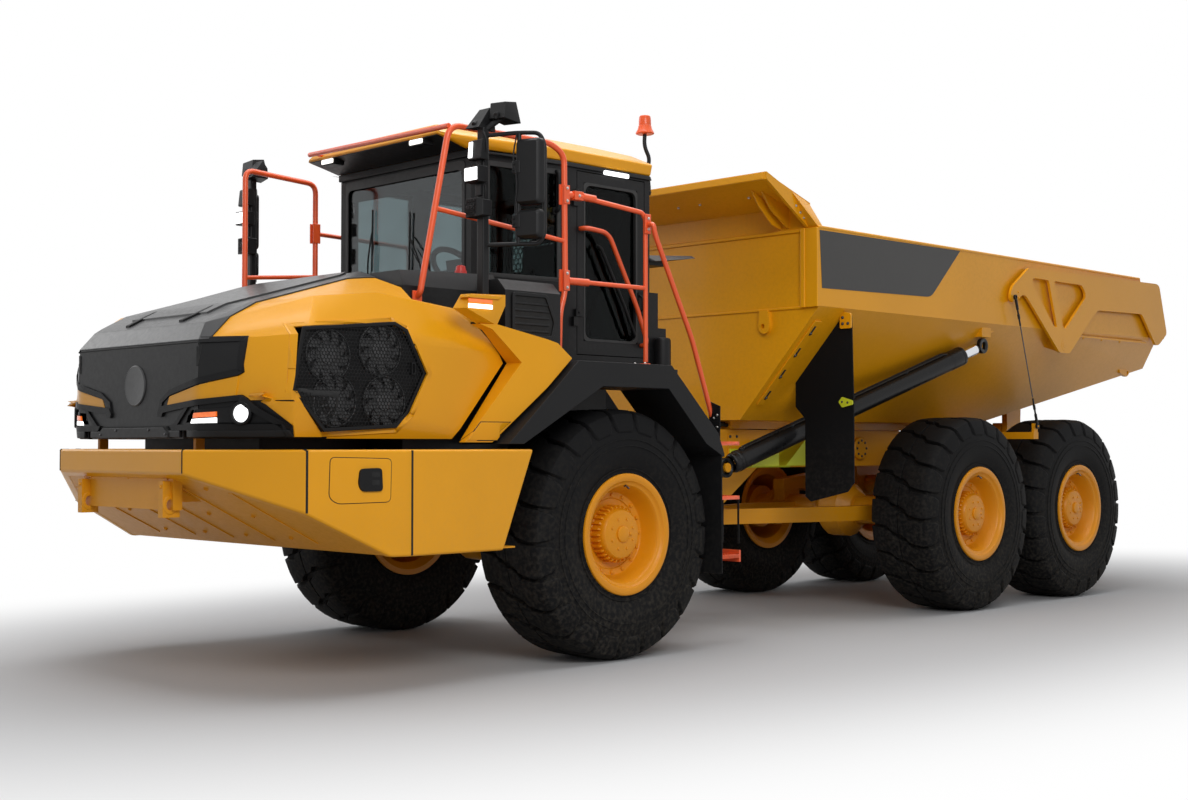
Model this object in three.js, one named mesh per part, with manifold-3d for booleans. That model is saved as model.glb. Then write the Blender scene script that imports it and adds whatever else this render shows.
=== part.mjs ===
// Articulated dump truck: a front unit with hood and cab, a steered and rolling hitch, a rear
// frame on two bogie axles, and a tipping body whose tailgate is opened by wires.
// Millimetres. X points to the truck's left, Y to its rear, Z up. Inside the outer group the
// front axle is at y = 0 and the ground at z = 0.
import * as THREE from 'three';
import { ConvexGeometry } from 'three/addons/geometries/ConvexGeometry.js';
import { mergeVertices } from 'three/addons/utils/BufferGeometryUtils.js';
import Module from 'manifold-3d';

const wasm = await Module();
wasm.setup();

// ---- driving sizes -------------------------------------------------------------------------
const gap = 0.3;                    // between pieces that seat on each other
const running = 6;                  // between pieces that move past each other
const bearing = 0.9;                // from a pin to its bore, on the radius
const wheelRadius = 795;
const trackHalf = 1108;             // wheel centre from the middle plane
const wheelFacets = 24;             // flat stretches around a tyre and a rim
const tyreHalfWidth = 298;
const beadRadius = 326;
const flangeRadius = 385;
const midAxleY = 4175;
const rearAxleY = 5845;
const bogieY = (midAxleY + rearAxleY) / 2;
const bogieZ = 1000;
const trunnionRadius = 80;
const hitchY = 1208;
const hitchZ = 950;
const shaftRadius = 140;
const bearingRadius = 230;
const frontRailInner = 330;
const frontRailOuter = 410;
const frontRailBottom = 1040;
const frontRailTop = 1240;
const rearRailInner = 300;
const rearRailOuter = 400;
const rearRailBottom = 1180;
const rearRailTop = 1480;
const deckBottom = 1800;
const deckTop = 1880;
const deckHalf = 1000;
const fenderOuter = 1440;
const fenderTop = 1875;
const cabHalf = 800;
const cabFrontHalf = 700;
const cabFrontY = -715;
const cabRearY = 830;
const cabWall = 50;
const cabTop = 3240;
const cabFloor = 60;
const doorFrontY = 126;
const doorRearY = 774;
const doorBottom = 1966;
const doorTop = 3190;
const hoodHalf = 1215;
const hoodWall = 25;
const hoodBottom = 1395;
const hoodHinge = [-2560, 1430];    // y, z
const hoodPinRadius = 12;
const cowlFrontY = -1470;
const cowlHalf = 975;
const crestHalf = 1090;             // inside this the hood stops at the cowl
const noseHalf = 740;               // half width of the middle hood panel
const podInner = 580;
const podTop = 1600;
const tipPivot = [6300, 1500];      // y, z
const tipPinRadius = 40;
const bodyFrontY = 2050;
const bodyKneeY = 5400;             // where the floor starts to rise to the chute
const bodyHalf = 1350;
const bodyInnerHalf = 1245;
const bodyFloorHalf = 600;
const bodyFloorZ = 1550;
const bodyShoulderZ = 2375;
const bodyTopZ = 2950;
const bodyPlate = 25;
const lipY = 7520;
const lipZ = 2110;
const gatePivot = [5570, 2245];     // y, z
const gatePlate = 24;
const gateInner = 1375;
const wireX = 1418;
const wirePinRadius = 8.5;
const gatePinRadius = 26;
const wireFoot = [5050, 1520];      // y, z
const wireHead = [4700, 2610];      // y, z
const hoistFoot = [660, 1780, 1190];
const hoistHead = [1278, 4400, 2190];
const hoistPinRadius = 35;
const rodEyeRatio = 1.7;         // rod eye over its pin
const hoistBarrelLength = 2600;
const hoistBarrelRadius = 80;
const hoistRodRadius = 45;
const hoistRodTail = 110;           // how far the rod's inner end stays from the foot
const steerFoot = [470, 250, hitchZ];
const steerHead = [330, 1420, hitchZ];
const steerBarrelLength = 720;
const steerBarrelRadius = 55;
const steerRodRadius = 30;
const steerRodTail = 360;
const steerPinRadius = 25;
const hitchPinRadius = 60;
const shaftFacets = 32;
const doorPin = [815, 108];         // x, y
const doorPinRadius = 7;
const railTube = 19;

// ---- shape helpers -------------------------------------------------------------------------
function toSolid(geometry) {
  const bare = geometry.index ? geometry.toNonIndexed() : geometry.clone();
  bare.deleteAttribute('normal');
  bare.deleteAttribute('uv');
  const merged = mergeVertices(bare, 1e-3);
  return new wasm.Manifold(new wasm.Mesh({
    numProp: 3,
    vertProperties: new Float32Array(merged.attributes.position.array),
    triVerts: new Uint32Array(merged.index.array),
  }));
}

function toGeometry(solid) {
  const mesh = solid.getMesh();
  const geometry = new THREE.BufferGeometry();
  geometry.setAttribute('position', new THREE.BufferAttribute(mesh.vertProperties, 3));
  geometry.setIndex(new THREE.BufferAttribute(mesh.triVerts, 1));
  geometry.computeVertexNormals();
  return geometry;
}

function join(...solids) {
  return solids.flat().reduce((whole, piece) => whole.add(piece));
}

function cut(solid, ...tools) {
  return tools.flat().reduce((rest, tool) => rest.subtract(tool), solid);
}

function mirror(solid) {
  return solid.mirror([1, 0, 0]);
}

function bothSides(solid) {
  return [solid, mirror(solid)];
}

function block([x0, x1], [y0, y1], [z0, z1]) {
  const geometry = new THREE.BoxGeometry(x1 - x0, y1 - y0, z1 - z0);
  geometry.translate((x0 + x1) / 2, (y0 + y1) / 2, (z0 + z1) / 2);
  return toSolid(geometry);
}

// A flat outline swept along one axis. The outline is (y, z) for x, (x, z) for y, (x, y) for z.
function prism(axis, outline, from, to) {
  const shape = new THREE.Shape(outline.map(([a, b]) => new THREE.Vector2(a, b)));
  const geometry = new THREE.ExtrudeGeometry(shape, { depth: to - from, bevelEnabled: false });
  const X = new THREE.Vector3(1, 0, 0);
  const Y = new THREE.Vector3(0, 1, 0);
  const Z = new THREE.Vector3(0, 0, 1);
  const place = new THREE.Matrix4();
  if (axis === 'x') place.makeBasis(Y, Z, X).setPosition(from, 0, 0);
  if (axis === 'y') place.makeBasis(X, Z, Y.clone().negate()).setPosition(0, to, 0);
  if (axis === 'z') place.makeBasis(X, Y, Z).setPosition(0, 0, from);
  geometry.applyMatrix4(place);
  return toSolid(geometry);
}

function hull(points) {
  return toSolid(new ConvexGeometry(points.map(([x, y, z]) => new THREE.Vector3(x, y, z))));
}

function hullBothSides(points) {
  return hull([...points, ...points.map(([x, y, z]) => [-x, y, z])]);
}

function bar(start, end, radius, sides = 16, endRadius = radius) {
  const a = new THREE.Vector3(...start);
  const b = new THREE.Vector3(...end);
  const geometry = new THREE.CylinderGeometry(endRadius, radius, a.distanceTo(b), sides);
  const along = b.clone().sub(a).normalize();
  geometry.applyQuaternion(new THREE.Quaternion().setFromUnitVectors(new THREE.Vector3(0, 1, 0), along));
  geometry.translate((a.x + b.x) / 2, (a.y + b.y) / 2, (a.z + b.z) / 2);
  return toSolid(geometry);
}

// A turned piece about the X axis through the origin; the profile is (radius, x).
function turned(profile, sides, phase = 0) {
  const points = profile.map(([r, x]) => new THREE.Vector2(r, x));
  const geometry = new THREE.LatheGeometry(points, sides, phase);
  geometry.rotateZ(-Math.PI / 2);
  return toSolid(geometry);
}

// A route through points with rounded corners, sampled exactly at its own stations.
class RoundedRoute extends THREE.Curve {
  constructor(points, bend, steps = 2) {
    super();
    const corners = points.map((p) => new THREE.Vector3(...p));
    this.stations = [corners[0]];
    for (let i = 1; i < corners.length - 1; i += 1) {
      const before = corners[i - 1].clone().sub(corners[i]);
      const after = corners[i + 1].clone().sub(corners[i]);
      const reach = Math.min(bend, before.length() / 2.2, after.length() / 2.2);
      const entry = corners[i].clone().addScaledVector(before.normalize(), reach);
      const exit = corners[i].clone().addScaledVector(after.normalize(), reach);
      const arc = new THREE.QuadraticBezierCurve3(entry, corners[i], exit);
      this.stations.push(...arc.getPoints(steps));
    }
    this.stations.push(corners[corners.length - 1]);
  }

  get steps() {
    return this.stations.length - 1;
  }

  getSpacedPoints() {
    return this.stations;
  }

  getTangentAt(u) {
    const i = Math.round(u * this.steps);
    const before = this.stations[Math.max(i - 1, 0)];
    const after = this.stations[Math.min(i + 1, this.steps)];
    return after.clone().sub(before).normalize();
  }
}

function pipe(points, radius, bend = 60, sides = 8) {
  const route = new RoundedRoute(points, bend);
  const section = new THREE.Shape();
  section.absarc(0, 0, radius, 0, 2 * Math.PI);
  const geometry = new THREE.ExtrudeGeometry(section, {
    steps: route.steps, extrudePath: route, curveSegments: sides / 2, bevelEnabled: false,
  });
  return toSolid(geometry);
}

function along(start, end, distance) {
  const a = new THREE.Vector3(...start);
  const direction = new THREE.Vector3(...end).sub(a).normalize();
  return a.addScaledVector(direction, distance).toArray();
}

const steerSize = {
  foot: steerFoot,
  head: steerHead,
  length: steerBarrelLength,
  radius: steerBarrelRadius,
  rodRadius: steerRodRadius,
  tail: steerRodTail,
  pinRadius: steerPinRadius,
  axis: [0, 0, 1],
  eyeWidth: 76,
  flare: 0,
  rodEyeWidth: 70,
};
const hoistSize = {
  foot: hoistFoot,
  head: hoistHead,
  length: hoistBarrelLength,
  radius: hoistBarrelRadius,
  rodRadius: hoistRodRadius,
  tail: hoistRodTail,
  pinRadius: hoistPinRadius,
  axis: [1, 0, 0],
  eyeWidth: 90,
  flare: 13,                        // lets the barrel tilt on its pin
  rodEyeWidth: 36,
};

// ---- materials -----------------------------------------------------------------------------
function paint(color, roughness, metalness = 0) {
  return new THREE.MeshStandardMaterial({ color, roughness, metalness });
}

const yellow = '#e8a51c';
const grey = '#3b3a3a';
const black = '#1b1b1c';
const orange = '#f0582a';
const steel = '#5a5c60';

function put(group, name, solid, color, roughness = 0.45, metalness = 0) {
  const mesh = new THREE.Mesh(toGeometry(solid), paint(color, roughness, metalness));
  mesh.name = name;
  group.add(mesh);
  return mesh;
}

// ---- front unit: frame, axle, skirt, fenders -----------------------------------------------
function frontFrame() {
  const plateY = -2690;
  const rail = block([frontRailInner, frontRailOuter], [plateY, 760], [frontRailBottom, frontRailTop]);
  const frontPlate = block([-520, 520], [plateY - 5.7, plateY + 50], [1000, 1300]);
  const eye = cut(block([445, 495], [-2745, -2640], [960, 1160]), bar([400, -2700, 1030], [540, -2700, 1030], 30));
  const ear = block([540, 566], [hoodHinge[0] - 25, hoodHinge[0] + 30], [1250, hoodHinge[1] + 20]);
  const hingePin = bar([-560, ...hoodHinge], [560, ...hoodHinge], hoodPinRadius);
  const rearPlate = join(
    block([-frontRailOuter, frontRailOuter], [680, 760], [frontRailBottom, frontRailTop]),
    block([-250, 250], [680, 760], [690, frontRailBottom]),
  );
  const earOutline = [[-250, 755], [250, 755], [150, hitchY + 60], [90, hitchY + 140],
    [-90, hitchY + 140], [-150, hitchY + 60]];
  const upperEar = prism('z', earOutline, 1130, 1190);
  const lowerEar = prism('z', earOutline, 700, 760);
  const hitchPin = bar([0, hitchY, 680], [0, hitchY, 1210], hitchPinRadius, 24);
  const crossTube = bar([-frontRailInner - 5, -1500, 1140], [frontRailInner + 5, -1500, 1140], 70);
  const steerMount = join(
    block([frontRailInner, 545], [180, 320], [1010, frontRailBottom + 20]),
    bar([steerFoot[0], steerFoot[1], 900], [steerFoot[0], steerFoot[1], 1015], steerPinRadius),
  );
  const strutMount = block([frontRailOuter - 5, 610], [0, 120], [1180, frontRailTop]);
  const hoodEar = join(ear, block([490, 566], [plateY - 5, hoodHinge[0] + 30], [1240, 1275]));
  return join(bothSides(rail), frontPlate, bothSides(eye), bothSides(hoodEar), hingePin, rearPlate, upperEar,
    lowerEar, hitchPin, crossTube, bothSides(steerMount), bothSides(strutMount));
}

function axle(y, bulgeSide) {
  const hubFace = 905 - gap;
  const tube = bar([-hubFace, 0, 0], [hubFace, 0, 0], 120, 16);
  const bulge = turned([[0, -190], [150, -185], [235, -90], [235, 90], [150, 185], [0, 190]], 16);
  const snout = bar([0, 0, 0], [0, 300 * bulgeSide, 10], 95, 12);
  const flange = (side) => bar([side * 700, 0, 0], [side * 760, 0, 0], 160, 16);
  return join(tube, bulge, snout, flange(1), flange(-1)).translate([0, y, wheelRadius]);
}

function frontAxle() {
  const strut = join(
    bar([560, 60, 840], [560, 60, 1010], 60),
    bar([560, 60, 1000], [560, 60, 1180 - gap], 36),
  );
  const arm = bar([250, 60, 790], [30, 640, 790], 40, 12);
  const ball = block([-70, 70], [600, 680 - gap], [720, 850]);
  const rodMount = block([500, 620], [20, 110], [830, 880]);
  return join(axle(0, 1), bothSides(strut), bothSides(arm), ball, bothSides(rodMount));
}

function skirtPlan(inset) {
  return [[710 - inset * 0.3, -2756 + inset], [1300 - inset, -2360 + inset * 0.6], [1470 - inset, -1790],
    [1450 - inset, -850]];
}

function frontSkirt() {
  const wall = 60;
  const mirrored = (plan) => [...plan.map(([x, y]) => [-x, y]).reverse(), ...plan];
  const outer = prism('z', mirrored(skirtPlan(0)), 700, 1335);
  const inner = prism('z', mirrored([...skirtPlan(wall), [1450 - wall, -800]]), 650, 1400);
  const underCut = prism('x', [[-2900, 1276], [-2900, 600], [-700, 600], [-700, 750], [-1900, 750]],
    -1600, 1600);
  const rearCut = prism('x', [[-700, 1400], [-850, 1400], [-860, 1335], [-1100, 750], [-1100, 600],
    [-700, 600]], -1600, 1600);
  return cut(outer, inner, underCut, rearCut);
}

function fender() {
  const outer = [[-1050, 1365], [-480, fenderTop], [360, fenderTop], [820, 1440], [882, 1300], [882, 500],
    [852, 500], [852, 1290], [700, 1365], [330, 1722], [-270, 1722], [-930, 1365]];
  const arch = prism('x', outer, deckHalf + gap, fenderOuter);
  const trim = block([1392, 1500], [860, 900], [400, 1280]);
  const guard = block([850, deckHalf + gap + 5], [852, 882], [500, 1290]);
  return cut(join(arch, guard), trim);
}

function sidePanel() {
  const outline = [[-1250, 1375], [-1075, 1375], [-500, 1888], [-620, 1975], [-1040, 2069.7], [-1160, 2069.7],
    [-1075, 2040], [-880, 1850]];
  const panel = prism('x', outline, hoodHalf + 2 * running, 1400);
  const slant = prism('z', [[1250, -1400], [1500, -1400], [1500, -700], [1401, -700]], 1300, 2100);
  const pod = hull([[1275, -1340, 2150], [1350, -1300, 2150], [1350, -1000, 2245], [1275, -1000, 2245],
    [1275, -1040, 2069.7 - 5], [1320, -1040, 2069.7 - 5], [1275, -1150, 2069.7 - 5], [1275, -1280, 2235],
    [1350, -1260, 2235], [1275, -1000, 2180], [1350, -1000, 2180]]);
  return join(cut(panel, slant), pod);
}

// ---- front unit: cowl, deck, cab -----------------------------------------------------------
function cowlDeck() {
  const box = block([-cowlHalf, cowlHalf], [cowlFrontY, cabFrontY - 1], [frontRailTop + gap, 2300]);
  const top = hullBothSides([[cowlHalf, cowlFrontY, 2299], [cowlHalf, cabFrontY - 1, 2299],
    [cowlHalf - 60, cowlFrontY + 20, 2395], [cowlHalf - 60, cabFrontY - 1, 2420]]);
  const plate = block([-deckHalf, deckHalf], [cabFrontY - 2, 900], [deckBottom, deckTop]);
  const web = block([340, 400], [cabFrontY - 2, 800], [frontRailTop + gap, deckBottom + 1]);
  const panelSeat = block([cowlHalf - 5, hoodHalf + 2 * running - gap], [-870, -640], [1800, 1960]);
  const sideBox = hull([[cowlHalf - 5, -860, 1955], [1190, -860, 1955], [1190, -400, 1955],
    [cowlHalf - 5, -400, 1955], [cowlHalf - 5, -860, 2370], [1120, -860, 2370], [1120, -400, 2370],
    [cowlHalf - 5, -400, 2370], [1190, -860, 2300], [1190, -400, 2300]]);
  const cabClear = prism('z', [[-cabFrontHalf, cabFrontY - 1], [cabFrontHalf, cabFrontY - 1], [cabHalf + 1, 0],
    [cabHalf + 1, 900], [-cabHalf - 1, 900], [-cabHalf - 1, 0]], deckTop, 2500);
  const boxFoot = block([deckHalf - 60, 1190], [-640, -400], [1890, 1970]);
  const side = cut(join(sideBox, panelSeat, boxFoot), cabClear);
  const boxes = join(
    block([430, 790], [cabRearY + 1, 1010], [deckTop - 1, 2180]),
    block([500, 760], [cabRearY + 1, 960], [2170, 2430]),
  );
  return join(box, top, plate, bothSides(web), bothSides(side), boxes);
}

function cabPlan(inset) {
  return [[-cabFrontHalf + inset, cabFrontY + inset], [cabFrontHalf - inset, cabFrontY + inset],
    [cabHalf - inset, 5], [cabHalf - inset, cabRearY - inset], [-cabHalf + inset, cabRearY - inset],
    [-cabHalf + inset, 5]];
}

function cabShell() {
  const floorZ = deckTop + gap;
  const outer = prism('z', cabPlan(0), floorZ, cabTop);
  const inner = prism('z', cabPlan(cabWall), floorZ + cabFloor, cabTop + 10);
  const windscreen = block([-630, 630], [cabFrontY - 50, cabFrontY + 100], [2450, 3170]);
  const frontQuarter = block([600, 900], [-590, -40], [2450, 3170]);
  const doorway = block([700, 900], [doorFrontY - running, doorRearY + running],
    [doorBottom - running, doorTop + running]);
  const rightWindow = block([-900, -700], [130, 760], [2250, 3170]);
  const rearWindow = block([-640, 640], [700, 900], [2480, 3150]);
  const hingeBoss = (z) => join(
    block([cabHalf - 10, doorPin[0] + 12], [70, doorPin[1] + 12], [z, z + 60]),
    bar([...doorPin, z + 30], [...doorPin, z + 115], doorPinRadius, 12),
  );
  const shell = cut(outer, inner, windscreen, bothSides(frontQuarter), doorway, rightWindow, rearWindow);
  return join(shell, hingeBoss(2150), hingeBoss(2950));
}

function cabRoof() {
  const z = cabTop + gap;
  const body = hullBothSides([[700, -760, z], [cabHalf + 10, 0, z], [cabHalf + 10, cabRearY + 10, z],
    [720, -1000, z + 60], [cabHalf + 20, 0, z + 80], [cabHalf + 20, cabRearY + 20, z + 80],
    [640, -960, z + 130], [560, -200, 3430], [560, 500, 3430], [640, cabRearY, 3400]]);
  return body;
}

function operatorSeat() {
  const floorZ = deckTop + gap + cabFloor + gap;
  const post = block([-150, 150], [120, 420], [floorZ, floorZ + 260]);
  const cushion = hullBothSides([[260, 20, floorZ + 260], [260, 500, floorZ + 250], [230, 10, floorZ + 370],
    [240, 500, floorZ + 350]]);
  const back = hullBothSides([[250, 440, floorZ + 330], [250, 560, floorZ + 300], [220, 560, floorZ + 1000],
    [220, 640, floorZ + 1000], [250, 620, floorZ + 330]]);
  return join(post, cushion, back);
}

function steeringColumn() {
  const floorZ = deckTop + gap + cabFloor + gap;
  const dash = hullBothSides([[480, -650, floorZ], [480, -480, floorZ], [520, -650, floorZ + 460],
    [520, -400, floorZ + 430], [520, -650, floorZ + 300]]);
  const column = bar([0, -450, floorZ + 400], [0, -240, floorZ + 620], 32, 12);
  const hub = bar([0, -262, floorZ + 597], [0, -232, floorZ + 629], 60, 12);
  const tilt = new THREE.Euler(-Math.PI / 4, 0, 0);
  const ring = new THREE.TorusGeometry(195, 16, 6, 16).applyMatrix4(new THREE.Matrix4().makeRotationFromEuler(tilt));
  ring.translate(0, -247, floorZ + 613);
  const spoke = bar([-190, -247, floorZ + 613], [190, -247, floorZ + 613], 14, 6);
  return join(dash, column, hub, toSolid(ring), spoke);
}

function windscreen() {
  return block([-630 + gap, 630 - gap], [cabFrontY + 12, cabFrontY + 20], [2450 + gap, 3170 - gap]);
}

function cabDoor() {
  const leaf = block([cabHalf - 46, cabHalf], [doorFrontY, doorRearY], [doorBottom, doorTop]);
  const window = block([700, 900], [doorFrontY + 60, doorRearY - 70], [doorBottom + 90, doorTop - 70]);
  const hinge = (z) => join(
    block([doorPin[0] - 9, doorPin[0] + 10], [doorPin[1], doorFrontY + 40], [z, z + 50]),
    block([cabHalf - 10, doorPin[0] + 10], [doorFrontY + 4, doorFrontY + 40], [z, z + 50]),
    bar([...doorPin, z], [...doorPin, z + 50], 12, 12),
  );
  const pinBore = bar([...doorPin, doorBottom], [...doorPin, doorTop], doorPinRadius + bearing, 12);
  const handrail = pipe([[cabHalf - 20, doorFrontY + 25, 2805], [cabHalf + 60, doorFrontY + 28, 2805],
    [cabHalf + 62, 360, 2790], [cabHalf + 62, 640, 2300], [cabHalf + 60, doorRearY - 30, 2060],
    [cabHalf - 20, doorRearY - 30, 2040]], 15, 50);
  return cut(join(cut(leaf, window), hinge(2215), hinge(3015), handrail), pinBore);
}

function doorGlass() {
  return block([cabHalf - 30, cabHalf - 24], [doorFrontY + 60 + gap, doorRearY - 70 - gap],
    [doorBottom + 90 + gap, doorTop - 70 - gap]);
}

function cabGuard() {
  const y = cabRearY + gap;
  const frame = [[-780, 2640], [780, 2640], [760, 3200], [-760, 3200]];
  const panel = prism('y', frame, y, y + 25);
  const lip = block([-790, 790], [y, y + 170], [2620, 2655]);
  const wing = hull([[700, y, 2640], [860, y, 2640], [940, y + 330, 2680], [900, y + 330, 2700],
    [700, y + 60, 2700], [700, y + 60, 2640]]);
  const post = bar([720, y + 40, 3180], [720, y + 40, 3560], 14, 10);
  const foot = block([690, 750], [y, y + 70], [3120, 3190]);
  const beacon = turned([[0, 0], [62, 0], [66, 40], [52, 110], [30, 128], [0, 130]], 16)
    .rotate([0, -90, 0]).translate([720, y + 40, 3555]);
  return join(panel, lip, bothSides(wing), post, foot, beacon);
}

// ---- front unit: rails, ladder, mirrors ----------------------------------------------------
function hoop() {
  const top = 3262;
  const outline = [[cowlHalf + 5, -1370, 2235], [1010, -1368, 2262], [1100, -1225, top],
    [1112, -420, top], [1118, -300, 3200], [1118, -290, 2330], [1118, -335, 2200], [1118, -345, 1890]];
  const hoopPipe = pipe(outline, railTube, 90);
  const midBar = bar([1056, -1298, 2760], [1118, -292, 2650], 15, 10);
  const foot = block([1085, 1150], [-380, -312], [fenderTop + gap, 1892]);
  const cowlFoot = block([cowlHalf + gap, cowlHalf + 12], [-1405, -1335], [2200, 2270]);
  const clean = block([cowlHalf - 60, cowlHalf + gap], [-1420, -1320], [2180, 2290]);
  return cut(join(hoopPipe, midBar, foot, cowlFoot), clean);
}

function gate() {
  const top = pipe([[1118, -300, 2950], [1140, -200, 2945], [1240, 290, 2880], [1250, 312, 2840], [1250, 312, 1900]],
    16, 60);
  const low = bar([1120, -290, 2400], [1248, 305, 2385], 15, 10);
  const foot = block([1150, 1270], [285, 340], [fenderTop + gap, 1920]);
  return join(top, low, foot);
}

// The right hoop stands upright on the cowl and on the box beside it, clear of the opening hood.
function rightHoop() {
  const x = 1062;
  const frame = pipe([[cowlHalf + 5, -1262, 2235], [1010, -1262, 2250], [x, -1260, 2320], [x, -1260, 3258],
    [x, -680, 3224], [x, -680, 2365]], railTube, 70);
  const frontFoot = block([cowlHalf + gap, cowlHalf + 12], [-1297, -1227], [2200, 2270]);
  const rearFoot = block([x - 32, x + 32], [-712, -648], [2370 + gap, 2384]);
  const clean = block([cowlHalf - 60, cowlHalf + gap], [-1320, -1200], [2180, 2290]);
  const under = block([x - 60, x + 60], [-740, -620], [2340, 2370 + gap]);
  const midBar = bar([x, -1258, 2512], [x, -682, 2560], 15, 10);
  const side = pipe([[x, -680, 2870], [1100, -500, 2872], [1240, 290, 2872], [1250, 312, 2832], [1250, 312, 1900]],
    16, 60);
  const low = bar([x, -680, 2440], [1248, 305, 2385], 15, 10);
  const foot = block([1150, 1270], [285, 340], [fenderTop + gap, 1920]);
  return cut(join(frame, frontFoot, rearFoot, midBar, side, low, foot), clean, under);
}

function guardRails() {
  const visorBar = bar([1098, -1226, 3255], [-620, -1035, 3332], 16, 10);
  return join(hoop(), gate(), visorBar);
}

function ladder() {
  const plate = block([1010, 1345], [882 + gap, 905], [560, 1400]);
  const window = block([1060, 1300], [870, 920], [660, 930]);
  const step = (z) => cut(block([1185, 1345], [900, 1150], [z - 14, z + 14]),
    block([1215, 1315], [930, 1120], [z - 30, z + 30]));
  const cheek = block([1185, 1345], [1140, 1160], [560, 680]);
  const hanger = (x) => bar([x, 1148, 600], [x, 1148, 1000], 9, 8);
  const lowStep = block([1185, 1345], [895, 1150], [586, 614]);
  const rail = pipe([[1320, 895, 1385], [1320, 935, 1392], [1320, 909, 1500], [1320, 692, 2060],
    [1320, 332, 2727], [1318, 314, 2800], [1268, 314, 2802]], 17, 80);
  return join(cut(plate, window), step(1000), step(1370), lowStep, cheek, hanger(1200), hanger(1330), rail);
}

function mirrorMast() {
  const x = 1250;
  const y = -1090;
  const foot = block([x - 22, x + 22], [y - 60, y + 50], [2069.7 + gap, 2110]);
  const mast = bar([x, y, 2100], [x, y, 3230], 22, 12);
  const loop = pipe([[x, y, 3190], [x + 170, y + 135, 3205], [x + 270, y + 205, 3200], [x + 300, y + 220, 3130],
    [x + 300, y + 220, 2600], [x + 270, y + 205, 2545], [x, y, 2540]], 13, 60);
  const pole = bar([x + 170, y + 135, 3200], [x + 170, y + 128, 2540], 13, 10);
  const plan = [[x + 155, y + 105], [x + 325, y + 150], [x + 150, y + 160], [x + 320, y + 205]];
  const upper = hull([2770, 3165].flatMap((z) => plan.map((corner) => [...corner, z])));
  const lower = hull([2570, 2745].flatMap((z) => plan.map((corner) => [...corner, z])));
  const lamp = block([x - 60, x + 60], [y - 90, y - 10], [2900, 2990]);
  const box = block([x - 60, x + 70], [y - 80, y + 10], [2700, 2810]);
  const frontCamera = hull([[x - 95, y - 60, 3236], [x + 25, y - 60, 3232], [x - 95, y + 70, 3310], [x + 25, y + 70, 3310],
    [x - 80, y + 40, 3365], [x + 15, y + 40, 3365], [x - 80, y + 85, 3240], [x + 15, y + 85, 3220]]);
  const sideCamera = hull([[x + 30, y + 20, 3290], [x + 165, y + 20, 3280], [x + 30, y + 30, 3385], [x + 165, y + 30, 3375],
    [x + 20, y + 150, 3270], [x + 170, y + 150, 3260], [x + 45, y + 130, 3400], [x + 150, y + 130, 3390]]);
  const arm = bar([x, y, 3215], [x + 110, y + 90, 3320], 18, 10);
  return join(foot, mast, loop, pole, upper, lower, lamp, box, frontCamera, sideCamera, arm);
}

// ---- hood ----------------------------------------------------------------------------------
function hoodForm(inset) {
  const i = inset;
  return hullBothSides([
    [690 - i, -2640 + i, hoodBottom], [690 - i, -2640 + i, 1930], [640, -2570 + i, 2030 - i],
    [700, -2330, 2150 - i], [780, -1780, 2300 - i], [780, -1000, 2385 - i], [600, -1500, 2395 - i],
    [1080 - i, -2170, 2180 - i], [1100 - i, -1760, 2225 - i], [1100 - i, -1200, 2165 - i],
    [1100 - i, -900, 2060 - i], [hoodHalf - i, -2400 + i, 1650], [hoodHalf - i, -2300 + i, 1960],
    [hoodHalf - i, -860, 1900], [hoodHalf - i, -860, hoodBottom], [1150 - i, -2340 + i, hoodBottom],
  ]);
}

function hoodShape() {
  const rearCut = prism('x', [[-1050, 2110], [-900, 1850], [-1280, hoodBottom], [-1280, 1300], [-600, 1300],
    [-600, 2500], [-1050, 2500]], -1400, 1400);
  const cowlCut = block([-crestHalf, crestHalf], [cowlFrontY - 25, -600], [1300, 2600]);
  const open = block([-1300, 1300], [-2700, -600], [1300, hoodBottom + 0.01]);
  const inner = join(hoodForm(hoodWall), hoodForm(hoodWall).translate([0, 0, -60]));
  return cut(hoodForm(0), inner, rearCut, cowlCut, open);
}

function podZone(slack) {
  return block([podInner - slack, 1300], [-2700, -2130 + slack], [1300, podTop + slack]);
}

function hoodNose() {
  const sleeve = bar([440, ...hoodHinge], [510, ...hoodHinge], 32, 16);
  const strap = block([440, 510], [-2630, hoodHinge[0]], [hoodHinge[1] - 16, hoodHinge[1] + 30]);
  const pinBore = bar([-600, ...hoodHinge], [600, ...hoodHinge], hoodPinRadius + bearing, 16);
  const earSlot = block([525, 580 - gap], [-2700, -2430], [1300, hoodHinge[1] + 50]);
  const middle = hoodShape().intersect(block([-noseHalf, noseHalf], [-2700, -600], [1300, 2600]));
  const skin = cut(middle, bothSides(podZone(gap)), bothSides(earSlot));
  return cut(join(skin, bothSides(join(sleeve, strap))), pinBore);
}

function hoodPanel() {
  const fanOpening = prism('x', [[-2320, 2000], [-1700, 2060], [-1610, 2020], [-1470, 1770], [-1600, 1540],
    [-1690, 1450], [-2110, 1425], [-2110, 1620], [-2390, 1650]], 1100, 1300);
  const side = hoodShape().intersect(block([noseHalf + gap, 1300], [-2700, -600], [1300, 2600]));
  return cut(side, podZone(gap), fanOpening);
}

function fanModule() {
  const face = hoodHalf - hoodWall - gap;
  const outline = [[-2310, 1990], [-1690, 2070], [-1590, 2040], [-1440, 1770], [-1580, 1520], [-1680, 1420],
    [-2100, 1420], [-2100, 1640], [-2370, 1660]];
  const plate = prism('x', outline, face - 40, face);
  const beam = block([-face + 5, face - 5], [-2000, -1920], [1960, 2020]);
  return join(bothSides(plate), beam).intersect(hoodForm(hoodWall + gap));
}

function headlampPod() {
  const depth = 110;
  const inner = join(hoodForm(depth), hoodForm(depth).translate([0, 0, -90]));
  return cut(podZone(0).intersect(hoodForm(0)), inner);
}

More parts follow.
